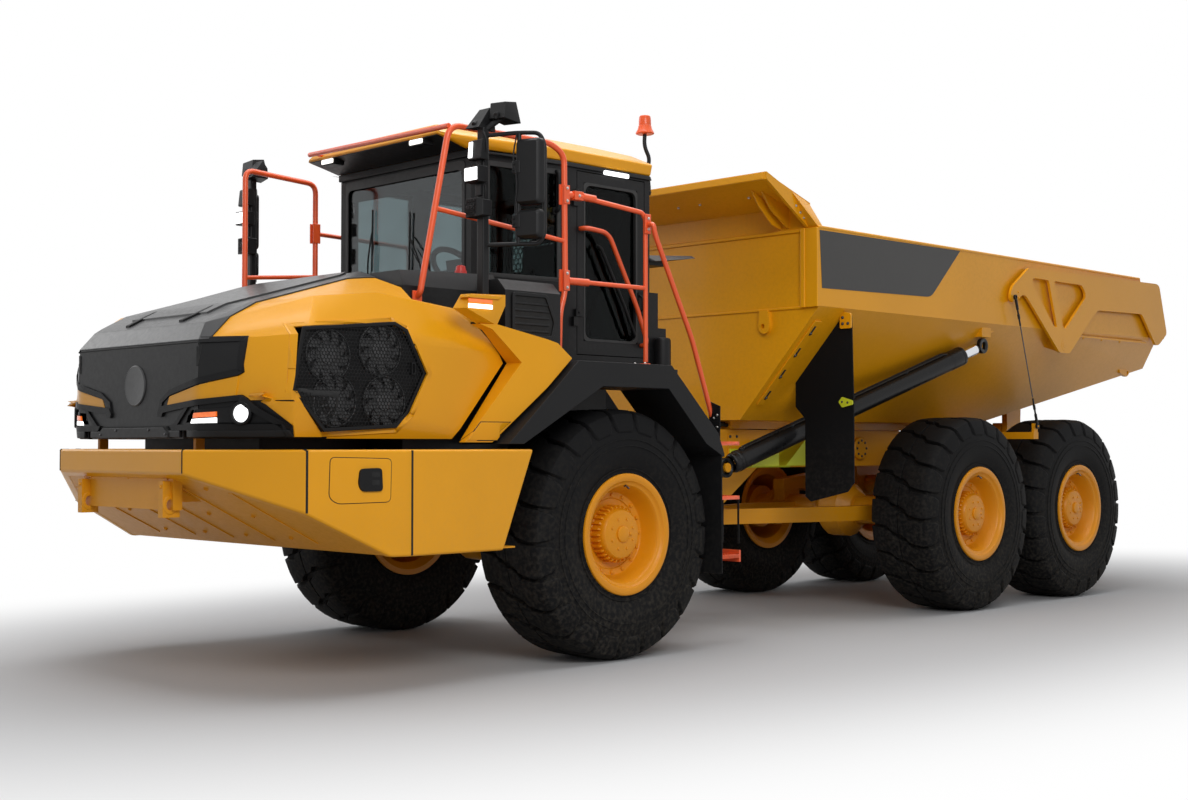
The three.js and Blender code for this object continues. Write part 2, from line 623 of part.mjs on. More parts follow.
// ---- hitch and steering cylinders ----------------------------------------------------------
function hitchYoke() {
  const knuckle = bar([0, hitchY, 766], [0, hitchY, 1124], 130, 20);
  const shaft = bar([0, hitchY, hitchZ], [0, 1790, hitchZ], shaftRadius, shaftFacets);
  const arm = prism('z', [[60, 1290], [250, 1350], [395, 1380], [400, 1450], [330, 1490], [60, 1460]], 870, 900);
  const collar = bar([0, 1400, hitchZ], [0, 1460, hitchZ], 175, 24);
  const bore = bar([0, hitchY, 600], [0, hitchY, 1300], hitchPinRadius + bearing, 24);
  return cut(join(knuckle, shaft, collar, bothSides(arm)), bore);
}

// Points one half width either side of a pin's centre, along the pin.
function pinEnds(centre, axis, half) {
  return [-half, half].map((reach) => centre.map((value, i) => value + axis[i] * reach));
}

function barrel({ foot, head, length, radius, rodRadius, pinRadius, axis, eyeWidth, flare }) {
  const tube = bar(along(foot, head, radius * 0.7), along(foot, head, length), radius, 20);
  const eye = bar(...pinEnds(foot, axis, eyeWidth / 2), radius * 0.95, 20);
  const hollow = bar(along(foot, head, radius + 10), along(foot, head, length - 60), rodRadius + 7, 12);
  const gland = bar(along(foot, head, length - 70), along(foot, head, length + 10), rodRadius + bearing, 16);
  const boreRadius = pinRadius + bearing;
  const bore = pinEnds(foot, axis, eyeWidth).map((end) => bar(foot, end, boreRadius, 16, boreRadius + flare));
  return cut(join(tube, eye), hollow, gland, bore);
}

function rod({ foot, head, tail, rodRadius, pinRadius, axis, rodEyeWidth }) {
  const total = new THREE.Vector3(...head).distanceTo(new THREE.Vector3(...foot));
  const shank = bar(along(foot, head, tail), along(foot, head, total - pinRadius - 5), rodRadius, 16);
  const eye = bar(...pinEnds(head, axis, rodEyeWidth / 2), pinRadius * rodEyeRatio, 16);
  const bore = bar(...pinEnds(head, axis, rodEyeWidth), pinRadius, 16);
  return cut(join(shank, eye), bore);
}

// ---- rear frame ----------------------------------------------------------------------------
function rearFrame() {
  const side = [[1700, 740], [2080, 740], [2080, 900], [2500, rearRailBottom], [4800, rearRailBottom],
    [4860, bogieZ - 110], [5160, bogieZ - 110], [5220, rearRailBottom], [6540, rearRailBottom],
    [6600, 1240], [6600, 1330], [6470, rearRailTop + 40], [6400, 1570], [6200, 1570], [6130, rearRailTop],
    [1850, rearRailTop], [1700, 1250]];
  const rail = prism('x', side, rearRailInner, rearRailOuter);
  const frontPlate = block([-rearRailInner - 1, rearRailInner + 1], [1700, 1760], [740, 1250]);
  const housing = bar([0, 1480, hitchZ], [0, 1765, hitchZ], bearingRadius, shaftFacets);
  const bore = bar([0, 1400, hitchZ], [0, 1900, hitchZ], shaftRadius + bearing, shaftFacets);
  const crosses = [[2000, 2080, 740, 900], [3000, 3120, 1230, 1430], [6440, 6560, 1200, 1330]].map(
    ([y0, y1, z0, z1]) => block([-rearRailInner - 1, rearRailInner + 1], [y0, y1], [z0, z1]));
  const trunnionBore = bar([-450, bogieY, bogieZ], [450, bogieY, bogieZ], trunnionRadius + gap, 20);
  const tipPin = bar([-475, ...tipPivot], [475, ...tipPivot], tipPinRadius, 20);
  const hoistMount = join(
    block([rearRailOuter - 5, 560], [1715, 1845], [1120, 1260]),
    bar([555, hoistFoot[1], hoistFoot[2]], [712, hoistFoot[1], hoistFoot[2]], hoistPinRadius, 16),
  );
  const wireArm = join(
    block([rearRailOuter - 5, wireX - 14], [5010, 5090], [1410, 1470]),
    block([wireX - 40, wireX - 14], [5020, 5080], [1460, wireFoot[1] + 25]),
    bar([wireX - 20, ...wireFoot], [wireX + 12, ...wireFoot], wirePinRadius, 12),
  );
  return cut(join(bothSides(rail), frontPlate, housing, crosses, tipPin, bothSides(hoistMount),
    bothSides(wireArm)), bore, trunnionBore);
}

function bogieBeams() {
  const outline = [[midAxleY - 120, 960], [midAxleY + 120, 960], [4800, 900], [5220, 900], [rearAxleY - 120, 960],
    [rearAxleY + 120, 960], [rearAxleY + 120, 1050], [5220, 1130], [4800, 1130], [midAxleY - 120, 1050]];
  const beam = prism('x', outline, 560, 680);
  const tube = bar([-561, bogieY, bogieZ], [561, bogieY, bogieZ], trunnionRadius, 20);
  return join(bothSides(beam), tube);
}

function bogieAxle(y, bulgeSide) {
  const pad = block([560, 680], [y - 110, y + 110], [wheelRadius + 60, 960 - gap]);
  return join(axle(y, bulgeSide), bothSides(pad));
}

function midAxle() {
  const stay = prism('z', [[60, 2090], [130, 2090], [560, 3500], [560, 4150], [440, 4150], [440, 3560]], 730, 850);
  const knot = block([-130, 130], [2080 + gap, 2260], [760, 860]);
  return join(bogieAxle(midAxleY, 1), bothSides(stay), knot);
}

function chockHolder() {
  const x = rearRailOuter + gap;
  const plate = block([x, x + 20], [2150, 2900], [1180, 1330]);
  const chock = (y) => hull([[x + 10, y, 1195], [x + 10, y + 330, 1195], [x + 230, y, 1195], [x + 230, y + 330, 1195],
    [x + 10, y + 250, 1400], [x + 230, y + 250, 1400], [x + 10, y + 330, 1400], [x + 230, y + 330, 1400]]);
  return join(plate, chock(2160), chock(2570));
}

// ---- wheels --------------------------------------------------------------------------------
// The flats of the tread lie at the rolling radius, with one flat facing down.
function wheelTurned(profile) {
  return turned(profile, wheelFacets, Math.PI / wheelFacets);
}

function tyre() {
  const w = tyreHalfWidth;
  const tread = wheelRadius / Math.cos(Math.PI / wheelFacets);
  return wheelTurned([[beadRadius, -240], [395, -255], [520, -w], [660, -w], [tread - 45, -w + 14],
    [tread, -w + 70], [tread, w - 70], [tread - 45, w - 14], [660, w], [520, w], [395, 255],
    [beadRadius, 240], [beadRadius, -240]]);
}

function rim() {
  const barrelRadius = beadRadius - gap;
  const f = flangeRadius;
  return wheelTurned([[0, -203], [190, -203], [200, 80], [280, 70], [295, -250], [345, -285], [f, -285],
    [f, -258], [barrelRadius, -242], [barrelRadius, 242], [f, 258], [f, 285], [345, 285], [300, 255],
    [265, 140], [165, 125], [150, 235], [0, 235], [0, -203]]);
}

function wheelSet(group, name, side, y) {
  const hub = new THREE.Group();
  hub.position.set(side * trackHalf, y, wheelRadius);
  hub.rotation.y = side < 0 ? Math.PI : 0;
  group.add(hub);
  put(hub, `${name}_tyre`, tyre(), black, 0.9);
  put(hub, `${name}_rim`, rim(), yellow);
}

// ---- dump body -----------------------------------------------------------------------------
function bodySection(y) {
  return [[bodyFloorHalf, y, bodyFloorZ], [bodyHalf, y, bodyShoulderZ], [bodyHalf, y, bodyTopZ]];
}

function bodyShell() {
  const outerFront = hullBothSides([...bodySection(bodyFrontY), ...bodySection(bodyKneeY)]);
  const outerRear = hullBothSides([...bodySection(bodyKneeY - 1), [1180, lipY, lipZ], [1320, lipY - 40, 2345],
    [bodyHalf, lipY - 90, 2400], [bodyHalf, 7130, bodyTopZ]]);
  const innerFloor = bodyPlate * 1.2;
  const section = (y) => [[bodyFloorHalf - 20, y, bodyFloorZ + innerFloor], [bodyInnerHalf, y, 2290],
    [bodyInnerHalf, y, bodyTopZ + 200]];
  const innerFront = hullBothSides([...section(bodyFrontY + 40), ...section(bodyKneeY + 1)]);
  const innerRear = hullBothSides([...section(bodyKneeY), [1120, 7700, lipZ + 80], [bodyInnerHalf, 7700, 2330],
    [bodyInnerHalf, 7700, 3200]]);
  return cut(join(outerFront, outerRear), innerFront, innerRear);
}

function canopy() {
  const sheet = prism('x', [[bodyFrontY, 2940], [bodyFrontY + 30, 2940], [bodyFrontY + 30, 3140], [1580, 3300],
    [1580, 3310], [1560, 3310], [1560, 3255], [1580, 3255], [bodyFrontY, 3115]], -1250, 1250);
  const gusset = prism('x', [[bodyFrontY + 5, 2960], [bodyFrontY + 5, 3125], [1720, 3225], [1850, 3080]], 1060, 1080);
  const wing = prism('x', [[1562, 3256], [1562, 3309], [1850, 3195], [1990, 3060], [bodyFrontY + 5, 2949]],
    1235, 1260);
  const cheek = hull([[1240, bodyFrontY, 2949], [bodyHalf, bodyFrontY, 2949], [bodyHalf, bodyFrontY + 60, 2949],
    [1240, bodyFrontY + 60, 2949], [1240, 1850, 3195], [1262, 1850, 3195], [1240, 1900, 3140],
    [1245, bodyFrontY + 20, 3140]]);
  return join(sheet, bothSides(gusset), bothSides(wing), bothSides(cheek));
}

function dumpBody() {
  const lug = cut(
    prism('x', [[6180, 1810], [6180, 1450], [6250, 1420], [6350, 1420], [6420, 1450], [6440, 1860]], 410, 465),
    bar([400, ...tipPivot], [480, ...tipPivot], tipPinRadius + bearing, 20),
  );
  const beamBottom = rearRailTop + running;
  const beam = block([rearRailInner, 420], [bodyFrontY + 100, 5500], [beamBottom, bodyFloorZ + 5]);
  const rib = prism('x', [[bodyKneeY - 60, beamBottom], [6190, 1700], [6460, 1790], [6460, 1860],
    [bodyKneeY - 60, 1560]], 405, 470);
  const lugBottom = hoistHead[2] + hoistPinRadius * rodEyeRatio + 2 * running;
  const hoistLug = block([1250, 1318], [4330, 4470], [lugBottom, 2350]);
  const bossFace = gateInner - running;
  const pivotBoss = hull([[1250, 5490, 2300], [1250, 5650, 2300], [bossFace, 5490, 2350],
    [bossFace, 5650, 2350], [bossFace, 5520, 2180], [bossFace, 5620, 2180], [1215, 5520, 2235],
    [1215, 5620, 2235]]);
  const gatePin = bar([bossFace - 5, ...gatePivot], [gateInner + gatePlate + 3, ...gatePivot],
    gatePinRadius, 20);
  return join(bodyShell(), canopy(), bothSides(lug), bothSides(beam), bothSides(rib), bothSides(hoistLug),
    bothSides(join(pivotBoss, gatePin)));
}

function mudFlap() {
  const slope = (bodyShoulderZ - bodyFloorZ) / (bodyHalf - bodyFloorHalf);
  const wallZ = (x) => bodyFloorZ + (x - bodyFloorHalf) * slope - 1.5 * gap;
  const outline = [[860, wallZ(860)], [1300, wallZ(1300)], [1385, wallZ(1300)], [1400, 1650], [1400, 1080],
    [1340, 1010], [1000, 930], [950, 970], [950, 1560], [860, 1650]];
  return prism('y', outline, 2400, 2412);
}

function tailgate() {
  const x0 = gateInner;
  const x1 = x0 + gatePlate;
  const plate = prism('x', [[4960, 2880], [4690, 2705], [4655, 2640], [4660, 2585], [4700, 2565],
    [4750, 2585], [5520, 2165], [5620, 2165], [6150, 2590], [7063, 2608], [7351, 2320], [7420, 2330],
    [7591, 2444], [7440, 2900], [7386, 2919], [7049, 2914]], x0, x1);
  const holes = [
    prism('x', [[5020, 2800], [4960, 2700], [5380, 2420]], x0 - 10, x1 + 10),
    prism('x', [[5150, 2820], [5520, 2400], [5950, 2690], [5850, 2830]], x0 - 10, x1 + 10),
  ];
  const bore = bar([1300, ...gatePivot], [1450, ...gatePivot], gatePinRadius + bearing, 20);
  const arm = cut(plate, holes, bore);
  const pane = prism('x', [[7440, 2900], [7415, 2895], [7560, 2440], [7490, 2395], [7500, 2380], [7591, 2444]],
    -x0 - 1, x0 + 1);
  return join(bothSides(arm), pane);
}

function wire() {
  const foot = [wireX, ...wireFoot];
  const head = [wireX, ...wireHead];
  const eye = (p) => bar(...pinEnds(p, [1, 0, 0], 9), 22, 12);
  const bore = (p) => bar(...pinEnds(p, [1, 0, 0], 15), wirePinRadius + bearing, 12);
  return cut(join(bar(foot, head, 9, 10), eye(foot), eye(head)), bore(foot), bore(head));
}

// ---- assembly ------------------------------------------------------------------------------
const group = new THREE.Group();
const truck = new THREE.Group();
const frontEndY = -2756;
const rearEndY = 7591;
truck.position.y = -(frontEndY + rearEndY) / 2;
group.add(truck);

put(truck, 'front_frame', frontFrame(), yellow);
put(truck, 'front_axle', frontAxle(), yellow);
put(truck, 'battery_pack', block([-650, 650], [-2230, cowlFrontY - 15], [frontRailTop + gap, 1880]), grey);
put(truck, 'front_skirt', frontSkirt(), yellow);
put(truck, 'left_fender', fender(), grey, 0.6);
put(truck, 'right_fender', mirror(fender()), grey, 0.6);
put(truck, 'left_side_panel', sidePanel(), yellow);
put(truck, 'right_side_panel', mirror(sidePanel()), yellow);
put(truck, 'cowl_deck', cowlDeck(), grey, 0.5);
put(truck, 'cab_shell', cabShell(), grey, 0.5);
put(truck, 'cab_roof', cabRoof(), yellow);
put(truck, 'windscreen', windscreen(), '#46606a', 0.05);
put(truck, 'operator_seat', operatorSeat(), '#2a2a2c', 0.9);
put(truck, 'steering_column', steeringColumn(), black, 0.7);
put(truck, 'cab_guard', cabGuard(), black, 0.6);
put(truck, 'guard_rails', guardRails(), orange);
put(truck, 'right_guard_rails', mirror(rightHoop()), orange);
put(truck, 'ladder', ladder(), orange);
put(truck, 'left_mirror_mast', mirrorMast(), black, 0.6);
put(truck, 'right_mirror_mast', mirror(mirrorMast()), black, 0.6);

put(truck, 'hood_nose', hoodNose(), grey, 0.4);
put(truck, 'left_hood_panel', hoodPanel(), yellow);
put(truck, 'right_hood_panel', mirror(hoodPanel()), yellow);
put(truck, 'fan_module', fanModule(), black, 0.7);
put(truck, 'left_headlamp_pod', headlampPod(), black, 0.5);
put(truck, 'right_headlamp_pod', mirror(headlampPod()), black, 0.5);

put(truck, 'cab_door', cabDoor(), grey, 0.5);
put(truck, 'door_glass', doorGlass(), '#46606a', 0.05);

put(truck, 'hitch_yoke', hitchYoke(), yellow);
put(truck, 'left_steer_barrel', barrel(steerSize), black, 0.5);
put(truck, 'right_steer_barrel', mirror(barrel(steerSize)), black, 0.5);
put(truck, 'left_steer_rod', rod(steerSize), steel, 0.2, 1);
put(truck, 'right_steer_rod', mirror(rod(steerSize)), steel, 0.2, 1);

put(truck, 'rear_frame', rearFrame(), yellow);
put(truck, 'mid_axle', midAxle(), yellow);
put(truck, 'rear_axle', bogieAxle(rearAxleY, -1), yellow);
put(truck, 'bogie_beams', bogieBeams(), yellow);
put(truck, 'chock_holder', chockHolder(), '#d8dc1e');

const wheelRows = [['front', 0], ['mid', midAxleY], ['rear', rearAxleY]];
for (const [row, y] of wheelRows) {
  wheelSet(truck, `left_${row}`, 1, y);
  wheelSet(truck, `right_${row}`, -1, y);
}

put(truck, 'dump_body', dumpBody(), yellow);
put(truck, 'left_mud_flap', mudFlap(), black, 0.9);
put(truck, 'right_mud_flap', mirror(mudFlap()), black, 0.9);
put(truck, 'tailgate', tailgate(), yellow);
put(truck, 'left_gate_wire', wire(), steel, 0.4, 1);
put(truck, 'right_gate_wire', mirror(wire()), steel, 0.4, 1);

put(truck, 'left_hoist_barrel', barrel(hoistSize), black, 0.4);
put(truck, 'right_hoist_barrel', mirror(barrel(hoistSize)), black, 0.4);
put(truck, 'left_hoist_rod', rod(hoistSize), steel, 0.2, 1);
put(truck, 'right_hoist_rod', mirror(rod(hoistSize)), steel, 0.2, 1);

export default group;
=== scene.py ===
import math

import bmesh
import bpy
from mathutils import Matrix, Vector
from mathutils.bvhtree import BVHTree
from mathutils.geometry import tessellate_polygon


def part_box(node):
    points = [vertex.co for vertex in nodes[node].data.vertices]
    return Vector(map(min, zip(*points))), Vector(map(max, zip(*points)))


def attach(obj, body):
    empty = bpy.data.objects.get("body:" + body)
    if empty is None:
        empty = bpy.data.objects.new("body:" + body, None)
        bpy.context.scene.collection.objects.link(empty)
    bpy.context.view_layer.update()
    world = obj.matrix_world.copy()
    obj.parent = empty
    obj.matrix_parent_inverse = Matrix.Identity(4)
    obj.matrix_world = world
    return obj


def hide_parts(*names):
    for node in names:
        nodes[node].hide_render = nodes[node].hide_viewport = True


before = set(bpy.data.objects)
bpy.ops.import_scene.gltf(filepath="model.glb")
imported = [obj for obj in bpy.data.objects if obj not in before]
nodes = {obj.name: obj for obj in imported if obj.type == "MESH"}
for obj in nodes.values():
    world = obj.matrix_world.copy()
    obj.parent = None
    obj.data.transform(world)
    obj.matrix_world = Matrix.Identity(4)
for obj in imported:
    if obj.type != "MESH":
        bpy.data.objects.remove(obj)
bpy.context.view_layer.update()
print("frame loaded")

# Sizes are in millimetres from the front axle: x to the truck's left, y to its rear, z up.
axleLow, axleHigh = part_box("left_front_tyre")
axleY = (axleLow[1] + axleHigh[1]) / 2


def at(x, y, z):
    return Vector((x / 1000, y / 1000 + axleY, z / 1000))


def toTruck(v):
    return Vector((v[0] * 1000, (v[1] - axleY) * 1000, v[2] * 1000))


# Camera, floor and lamps: places in mm for the camera, metres and watts for the rest.
stageLook = {"cameraPlace": (8201.8, -7071.6, 1361.4), "cameraTurn": (91.6487, 0, 45.181), "lens": 47.03,
             "floor": 60.0, "floorColor": (0.46, 0.46, 0.465, 1), "fadeStart": 2.3, "fadeEnd": 5.6, "sky": 0.27,
             "skyColor": (0.93, 0.96, 1.0, 1)}
lampLooks = {"topSoftbox": ((0, 0, 11), (0, 0, 0), (9, 14), 1250.0),
             "keySoftbox": ((10, -8, 7), (0, -1.5, 1.5), (6, 4), 620.0),
             "sideSoftbox": ((-11, -6, 6), (0, 0, 1.5), (6, 5), 170.0)}


def linkObject(name, data):
    made = bpy.data.objects.new(name, data)
    bpy.context.scene.collection.objects.link(made)
    return made


camera = linkObject("camera", bpy.data.cameras.new("camera"))
camera.location = at(*stageLook["cameraPlace"])
camera.rotation_euler = [math.radians(angle) for angle in stageLook["cameraTurn"]]
camera.data.lens = stageLook["lens"]
camera.data.sensor_width = 36
camera.data.clip_end = 200
bpy.context.scene.camera = camera
bpy.context.scene.view_settings.view_transform = "Standard"


# An input that is given a socket is linked to it; anything else is set on the input itself.
def feed(tree, node, inputs):
    for key, value in inputs.items():
        if isinstance(value, bpy.types.NodeSocket):
            tree.links.new(value, node.inputs[key])
        else:
            node.inputs[key].default_value = value


def addNode(tree, kind, inputs=None, **settings):
    node = tree.nodes.new(kind)
    for key, value in settings.items():
        setattr(node, key, value)
    feed(tree, node, inputs or {})
    return node


def linkMix(tree, factor, first, second):
    return addNode(tree, "ShaderNodeMix", {0: factor, 6: first, 7: second}, data_type="RGBA").outputs[2]


def linkMath(tree, operation, first, second, clamp=False):
    return addNode(tree, "ShaderNodeMath", {0: first, 1: second}, operation=operation, use_clamp=clamp).outputs[0]


def linkRange(tree, value, low, high, outLow=0.0, outHigh=1.0):
    return addNode(tree, "ShaderNodeMapRange", {"Value": value, "From Min": low, "From Max": high, "To Min": outLow,
                                                "To Max": outHigh}).outputs["Result"]


def linkNoise(tree, place, scale, detail):
    return addNode(tree, "ShaderNodeTexNoise", {"Vector": place, "Scale": scale, "Detail": detail}).outputs["Fac"]


def objectPlace(tree):
    return addNode(tree, "ShaderNodeTexCoord").outputs["Object"]


def whiteWhenSeen(tree):
    paths = addNode(tree, "ShaderNodeLightPath").outputs
    seen = linkMath(tree, "MAXIMUM", paths["Is Camera Ray"], paths["Is Glossy Ray"])
    return linkMath(tree, "MAXIMUM", seen, paths["Is Transmission Ray"])


def mixShaders(tree, factor, first, second):
    return addNode(tree, "ShaderNodeMixShader", {0: factor, 1: first.outputs[0], 2: second.outputs[0]}).outputs[0]


def makeWorld():
    world = bpy.data.worlds.new("studio")
    bpy.context.scene.world = world
    world.use_nodes = True
    tree = world.node_tree
    tree.nodes.clear()
    plain = addNode(tree, "ShaderNodeBackground", {"Color": stageLook["skyColor"], "Strength": stageLook["sky"]})
    white = addNode(tree, "ShaderNodeBackground", {"Color": (1, 1, 1, 1), "Strength": 1.0})
    addNode(tree, "ShaderNodeOutputWorld", {"Surface": mixShaders(tree, whiteWhenSeen(tree), plain, white)})


def newMaterial(name):
    material = bpy.data.materials.new(name)
    material.use_nodes = True
    material.node_tree.nodes.clear()
    return material, material.node_tree


# A grey floor that keeps the real shadow near the truck and fades to white away from it: the grey oval round the
# truck is partly painted shadow.
def makeFloor():
    half = stageLook["floor"]
    mesh = bpy.data.meshes.new("studioFloor")
    mesh.from_pydata([(-half, -half, 0), (half, -half, 0), (half, half, 0), (-half, half, 0)], [], [(0, 1, 2, 3)])
    floor = linkObject("studioFloor", mesh)
    material, tree = newMaterial("floorPaper")
    paper = addNode(tree, "ShaderNodeBsdfPrincipled", {"Base Color": stageLook["floorColor"], "Roughness": 0.75,
                                                       "Specular IOR Level": 0.2})
    glow = addNode(tree, "ShaderNodeEmission", {"Strength": 1.0})
    place = addNode(tree, "ShaderNodeNewGeometry").outputs["Position"]
    oval = addNode(tree, "ShaderNodeVectorMath", {0: place, 1: (1, 0.5, 1)}, operation="MULTIPLY").outputs[0]
    reach = addNode(tree, "ShaderNodeVectorMath", {0: oval}, operation="LENGTH").outputs["Value"]
    # the fade keeps the grey, a painted shadow round the truck, to a short oval
    fade = addNode(tree, "ShaderNodeMapRange", {"Value": reach, "From Min": stageLook["fadeStart"],
                                                "From Max": stageLook["fadeEnd"]},
                   interpolation_type="SMOOTHERSTEP")
    both = linkMath(tree, "MULTIPLY", fade.outputs["Result"], whiteWhenSeen(tree))
    addNode(tree, "ShaderNodeOutputMaterial", {"Surface": mixShaders(tree, both, paper, glow)})
    floor.data.materials.append(material)


def addLamp(name, place, target, size, power):
    lamp = linkObject(name, bpy.data.lights.new(name, "AREA"))
    lamp.data.shape = "RECTANGLE"
    lamp.data.size, lamp.data.size_y = size
    lamp.data.energy = power
    lamp.location = place
    lamp.rotation_euler = (Vector(target) - Vector(place)).to_track_quat("-Z", "Y").to_euler()
    lamp.visible_camera = False


makeWorld()
makeFloor()
for name, look in lampLooks.items():
    addLamp(name, *look)
print("camera, floor and lamps placed")


# Node groups that the finishes share.
def makeGroup(name, inputs, outputs):
    group = bpy.data.node_groups.new(name, "ShaderNodeTree")
    for label, value in inputs.items():
        kind = "Color" if isinstance(value, tuple) else "Float"
        socket = group.interface.new_socket(label, in_out="INPUT", socket_type="NodeSocket" + kind)
        socket.default_value = value
    for label, kind in outputs.items():
        group.interface.new_socket(label, in_out="OUTPUT", socket_type="NodeSocket" + kind)
    return group, addNode(group, "NodeGroupInput").outputs, addNode(group, "NodeGroupOutput")


def makeFieldGroup():
    group, given, out = makeGroup(
        "paintField",
        {"Color": (0.5, 0.5, 0.5, 1), "Tint": (0.5, 0.5, 0.5, 1), "Tint Scale": 1.5,
         "Dust Color": (0.42, 0.36, 0.28, 1), "Dust": 0.15, "Roughness": 0.35, "Worn Color": (0.3, 0.3, 0.3, 1),
         "Wear": 0.3, "Grain": 300.0},
        {"Color": "Color", "Roughness": "Float", "Height": "Float"})
    place = objectPlace(group)
    cloud = linkNoise(group, place, given["Tint Scale"], 3)
    speck = linkNoise(group, place, 38, 5)
    grain = linkNoise(group, place, given["Grain"], 1)
    tinted = linkMix(group, linkRange(group, cloud, 0.35, 0.65), given["Color"], given["Tint"])
    height = addNode(group, "ShaderNodeSeparateXYZ", {0: place}).outputs["Z"]
    low = linkRange(group, height, 1.5, 0.2)                  # dust settles on the lower parts
    spotted = linkRange(group, speck, 0.42, 0.72)
    dust = linkMath(group, "MULTIPLY", linkMath(group, "MULTIPLY", low, spotted, True), given["Dust"], True)
    dusty = linkMix(group, dust, tinted, given["Dust Color"])
    edge = linkRange(group, addNode(group, "ShaderNodeNewGeometry").outputs["Pointiness"], 0.53, 0.6)
    worn = linkMath(group, "MULTIPLY", linkMath(group, "MULTIPLY", edge, spotted, True), given["Wear"], True)
    rough = linkMath(group, "ADD", given["Roughness"], linkRange(group, speck, 0.3, 0.7, -0.04, 0.05))
    rough = linkMath(group, "ADD", rough, linkMath(group, "MULTIPLY", dust, 0.5), True)
    feed(group, out, {"Color": linkMix(group, worn, dusty, given["Worn Color"]), "Roughness": rough,
                      "Height": grain})
    return group


def makeMouldGroup():
    group, given, out = makeGroup("mouldGrain", {"Scale": 900.0, "Depth": 1.0},
                                  {"Height": "Float", "Mask": "Float"})
    cells = addNode(group, "ShaderNodeTexVoronoi", {"Vector": objectPlace(group)}, feature="SMOOTH_F1")
    feed(group, cells, {"Scale": given["Scale"]})
    reach = cells.outputs["Distance"]
    feed(group, out, {"Height": linkMath(group, "MULTIPLY", reach, given["Depth"]),
                      "Mask": linkRange(group, reach, 0.2, 0.8)})
    return group


def makeWeaveGroup():
    group, given, out = makeGroup("seatWeave", {"Scale": 240.0}, {"Height": "Float", "Mask": "Float"})
    place = objectPlace(group)
    waves = [addNode(group, "ShaderNodeTexWave", {"Vector": place, "Scale": given["Scale"], "Distortion": 0.4},
                     bands_direction=direction).outputs["Fac"] for direction in ("X", "Z")]
    woven = linkMath(group, "MAXIMUM", *waves)
    feed(group, out, {"Height": woven, "Mask": linkRange(group, woven, 0.3, 1.0)})
    return group


fieldGroup = makeFieldGroup()
mouldGroup = makeMouldGroup()
weaveGroup = makeWeaveGroup()


# Materials.
def useGroup(tree, group, inputs):
    return addNode(tree, "ShaderNodeGroup", inputs, node_tree=group).outputs


def addRelief(tree, height, strength, distance):
    return addNode(tree, "ShaderNodeBump", {"Height": height, "Strength": strength,
                                            "Distance": distance}).outputs["Normal"]


def makeSurface(name, inputs):
    material, tree = newMaterial(name)
    surface = addNode(tree, "ShaderNodeBsdfPrincipled", inputs)
    addNode(tree, "ShaderNodeOutputMaterial", {"Surface": surface.outputs[0]})
    return material, tree, surface


def shade(color, factor):
    return (color[0] * factor, color[1] * factor, color[2] * factor, 1)


def paintMaterial(name, color, roughness=0.35, tint=0.93, dust=0.12, wear=0.25, worn=(0.25, 0.25, 0.25), coat=0.0,
                  metallic=0.0, bump=0.04, grain=300.0, mould=0.0, mouldScale=900.0, specular=0.5):
    material, tree, surface = makeSurface(name, {"Metallic": metallic, "Coat Weight": coat, "Coat Roughness": 0.08,
                                                 "Specular IOR Level": specular})
    field = useGroup(tree, fieldGroup, {"Color": (*color, 1), "Tint": shade(color, tint), "Dust": dust,
                                        "Roughness": roughness, "Wear": wear, "Worn Color": (*worn, 1),
                                        "Grain": grain})
    if mould:
        cells = useGroup(tree, mouldGroup, {"Scale": mouldScale, "Depth": mould})
        relief = addRelief(tree, cells["Height"], 0.25, 0.0015)
    else:
        relief = addRelief(tree, field["Height"], bump * 4, 0.001)
    feed(tree, surface, {"Base Color": field["Color"], "Roughness": field["Roughness"], "Normal": relief})
    return material


def glassMaterial(name, color, roughness=0.03, ior=1.45):
    material, tree, surface = makeSurface(name, {"Transmission Weight": 1.0, "Metallic": 0.0, "IOR": ior})
    smear = linkNoise(tree, objectPlace(tree), 3, 2)
    faint = linkRange(tree, smear, 0.3, 0.7)
    feed(tree, surface, {"Base Color": linkMix(tree, faint, (*color, 1), shade(color, 0.85)),
                         "Roughness": linkRange(tree, smear, 0.3, 0.8, roughness, roughness + 0.04)})
    return material


def lampMaterial(name, color, glow, strength):
    material, tree, surface = makeSurface(name, {"Roughness": 0.12, "Coat Weight": 0.6,
                                                 "Emission Strength": strength})
    cells = useGroup(tree, mouldGroup, {"Scale": 70.0, "Depth": 1.0})
    feed(tree, surface, {"Base Color": linkMix(tree, cells["Mask"], (*color, 1), shade(color, 0.8)),
                         "Emission Color": linkMix(tree, cells["Mask"], (*glow, 1), shade(glow, 0.75)),
                         "Normal": addRelief(tree, cells["Height"], 0.3, 0.002)})
    return material


def fabricMaterial(name, color):
    material, tree, surface = makeSurface(name, {"Sheen Weight": 0.3})
    weave = useGroup(tree, weaveGroup, {"Scale": 160.0})
    field = useGroup(tree, fieldGroup, {"Color": (*color, 1), "Tint": shade(color, 0.7), "Dust": 0.1,
                                        "Roughness": 0.9})
    feed(tree, surface, {"Base Color": linkMix(tree, weave["Mask"], shade(color, 0.6), field["Color"]),
                         "Roughness": field["Roughness"], "Normal": addRelief(tree, weave["Height"], 0.5, 0.001)})
    return material


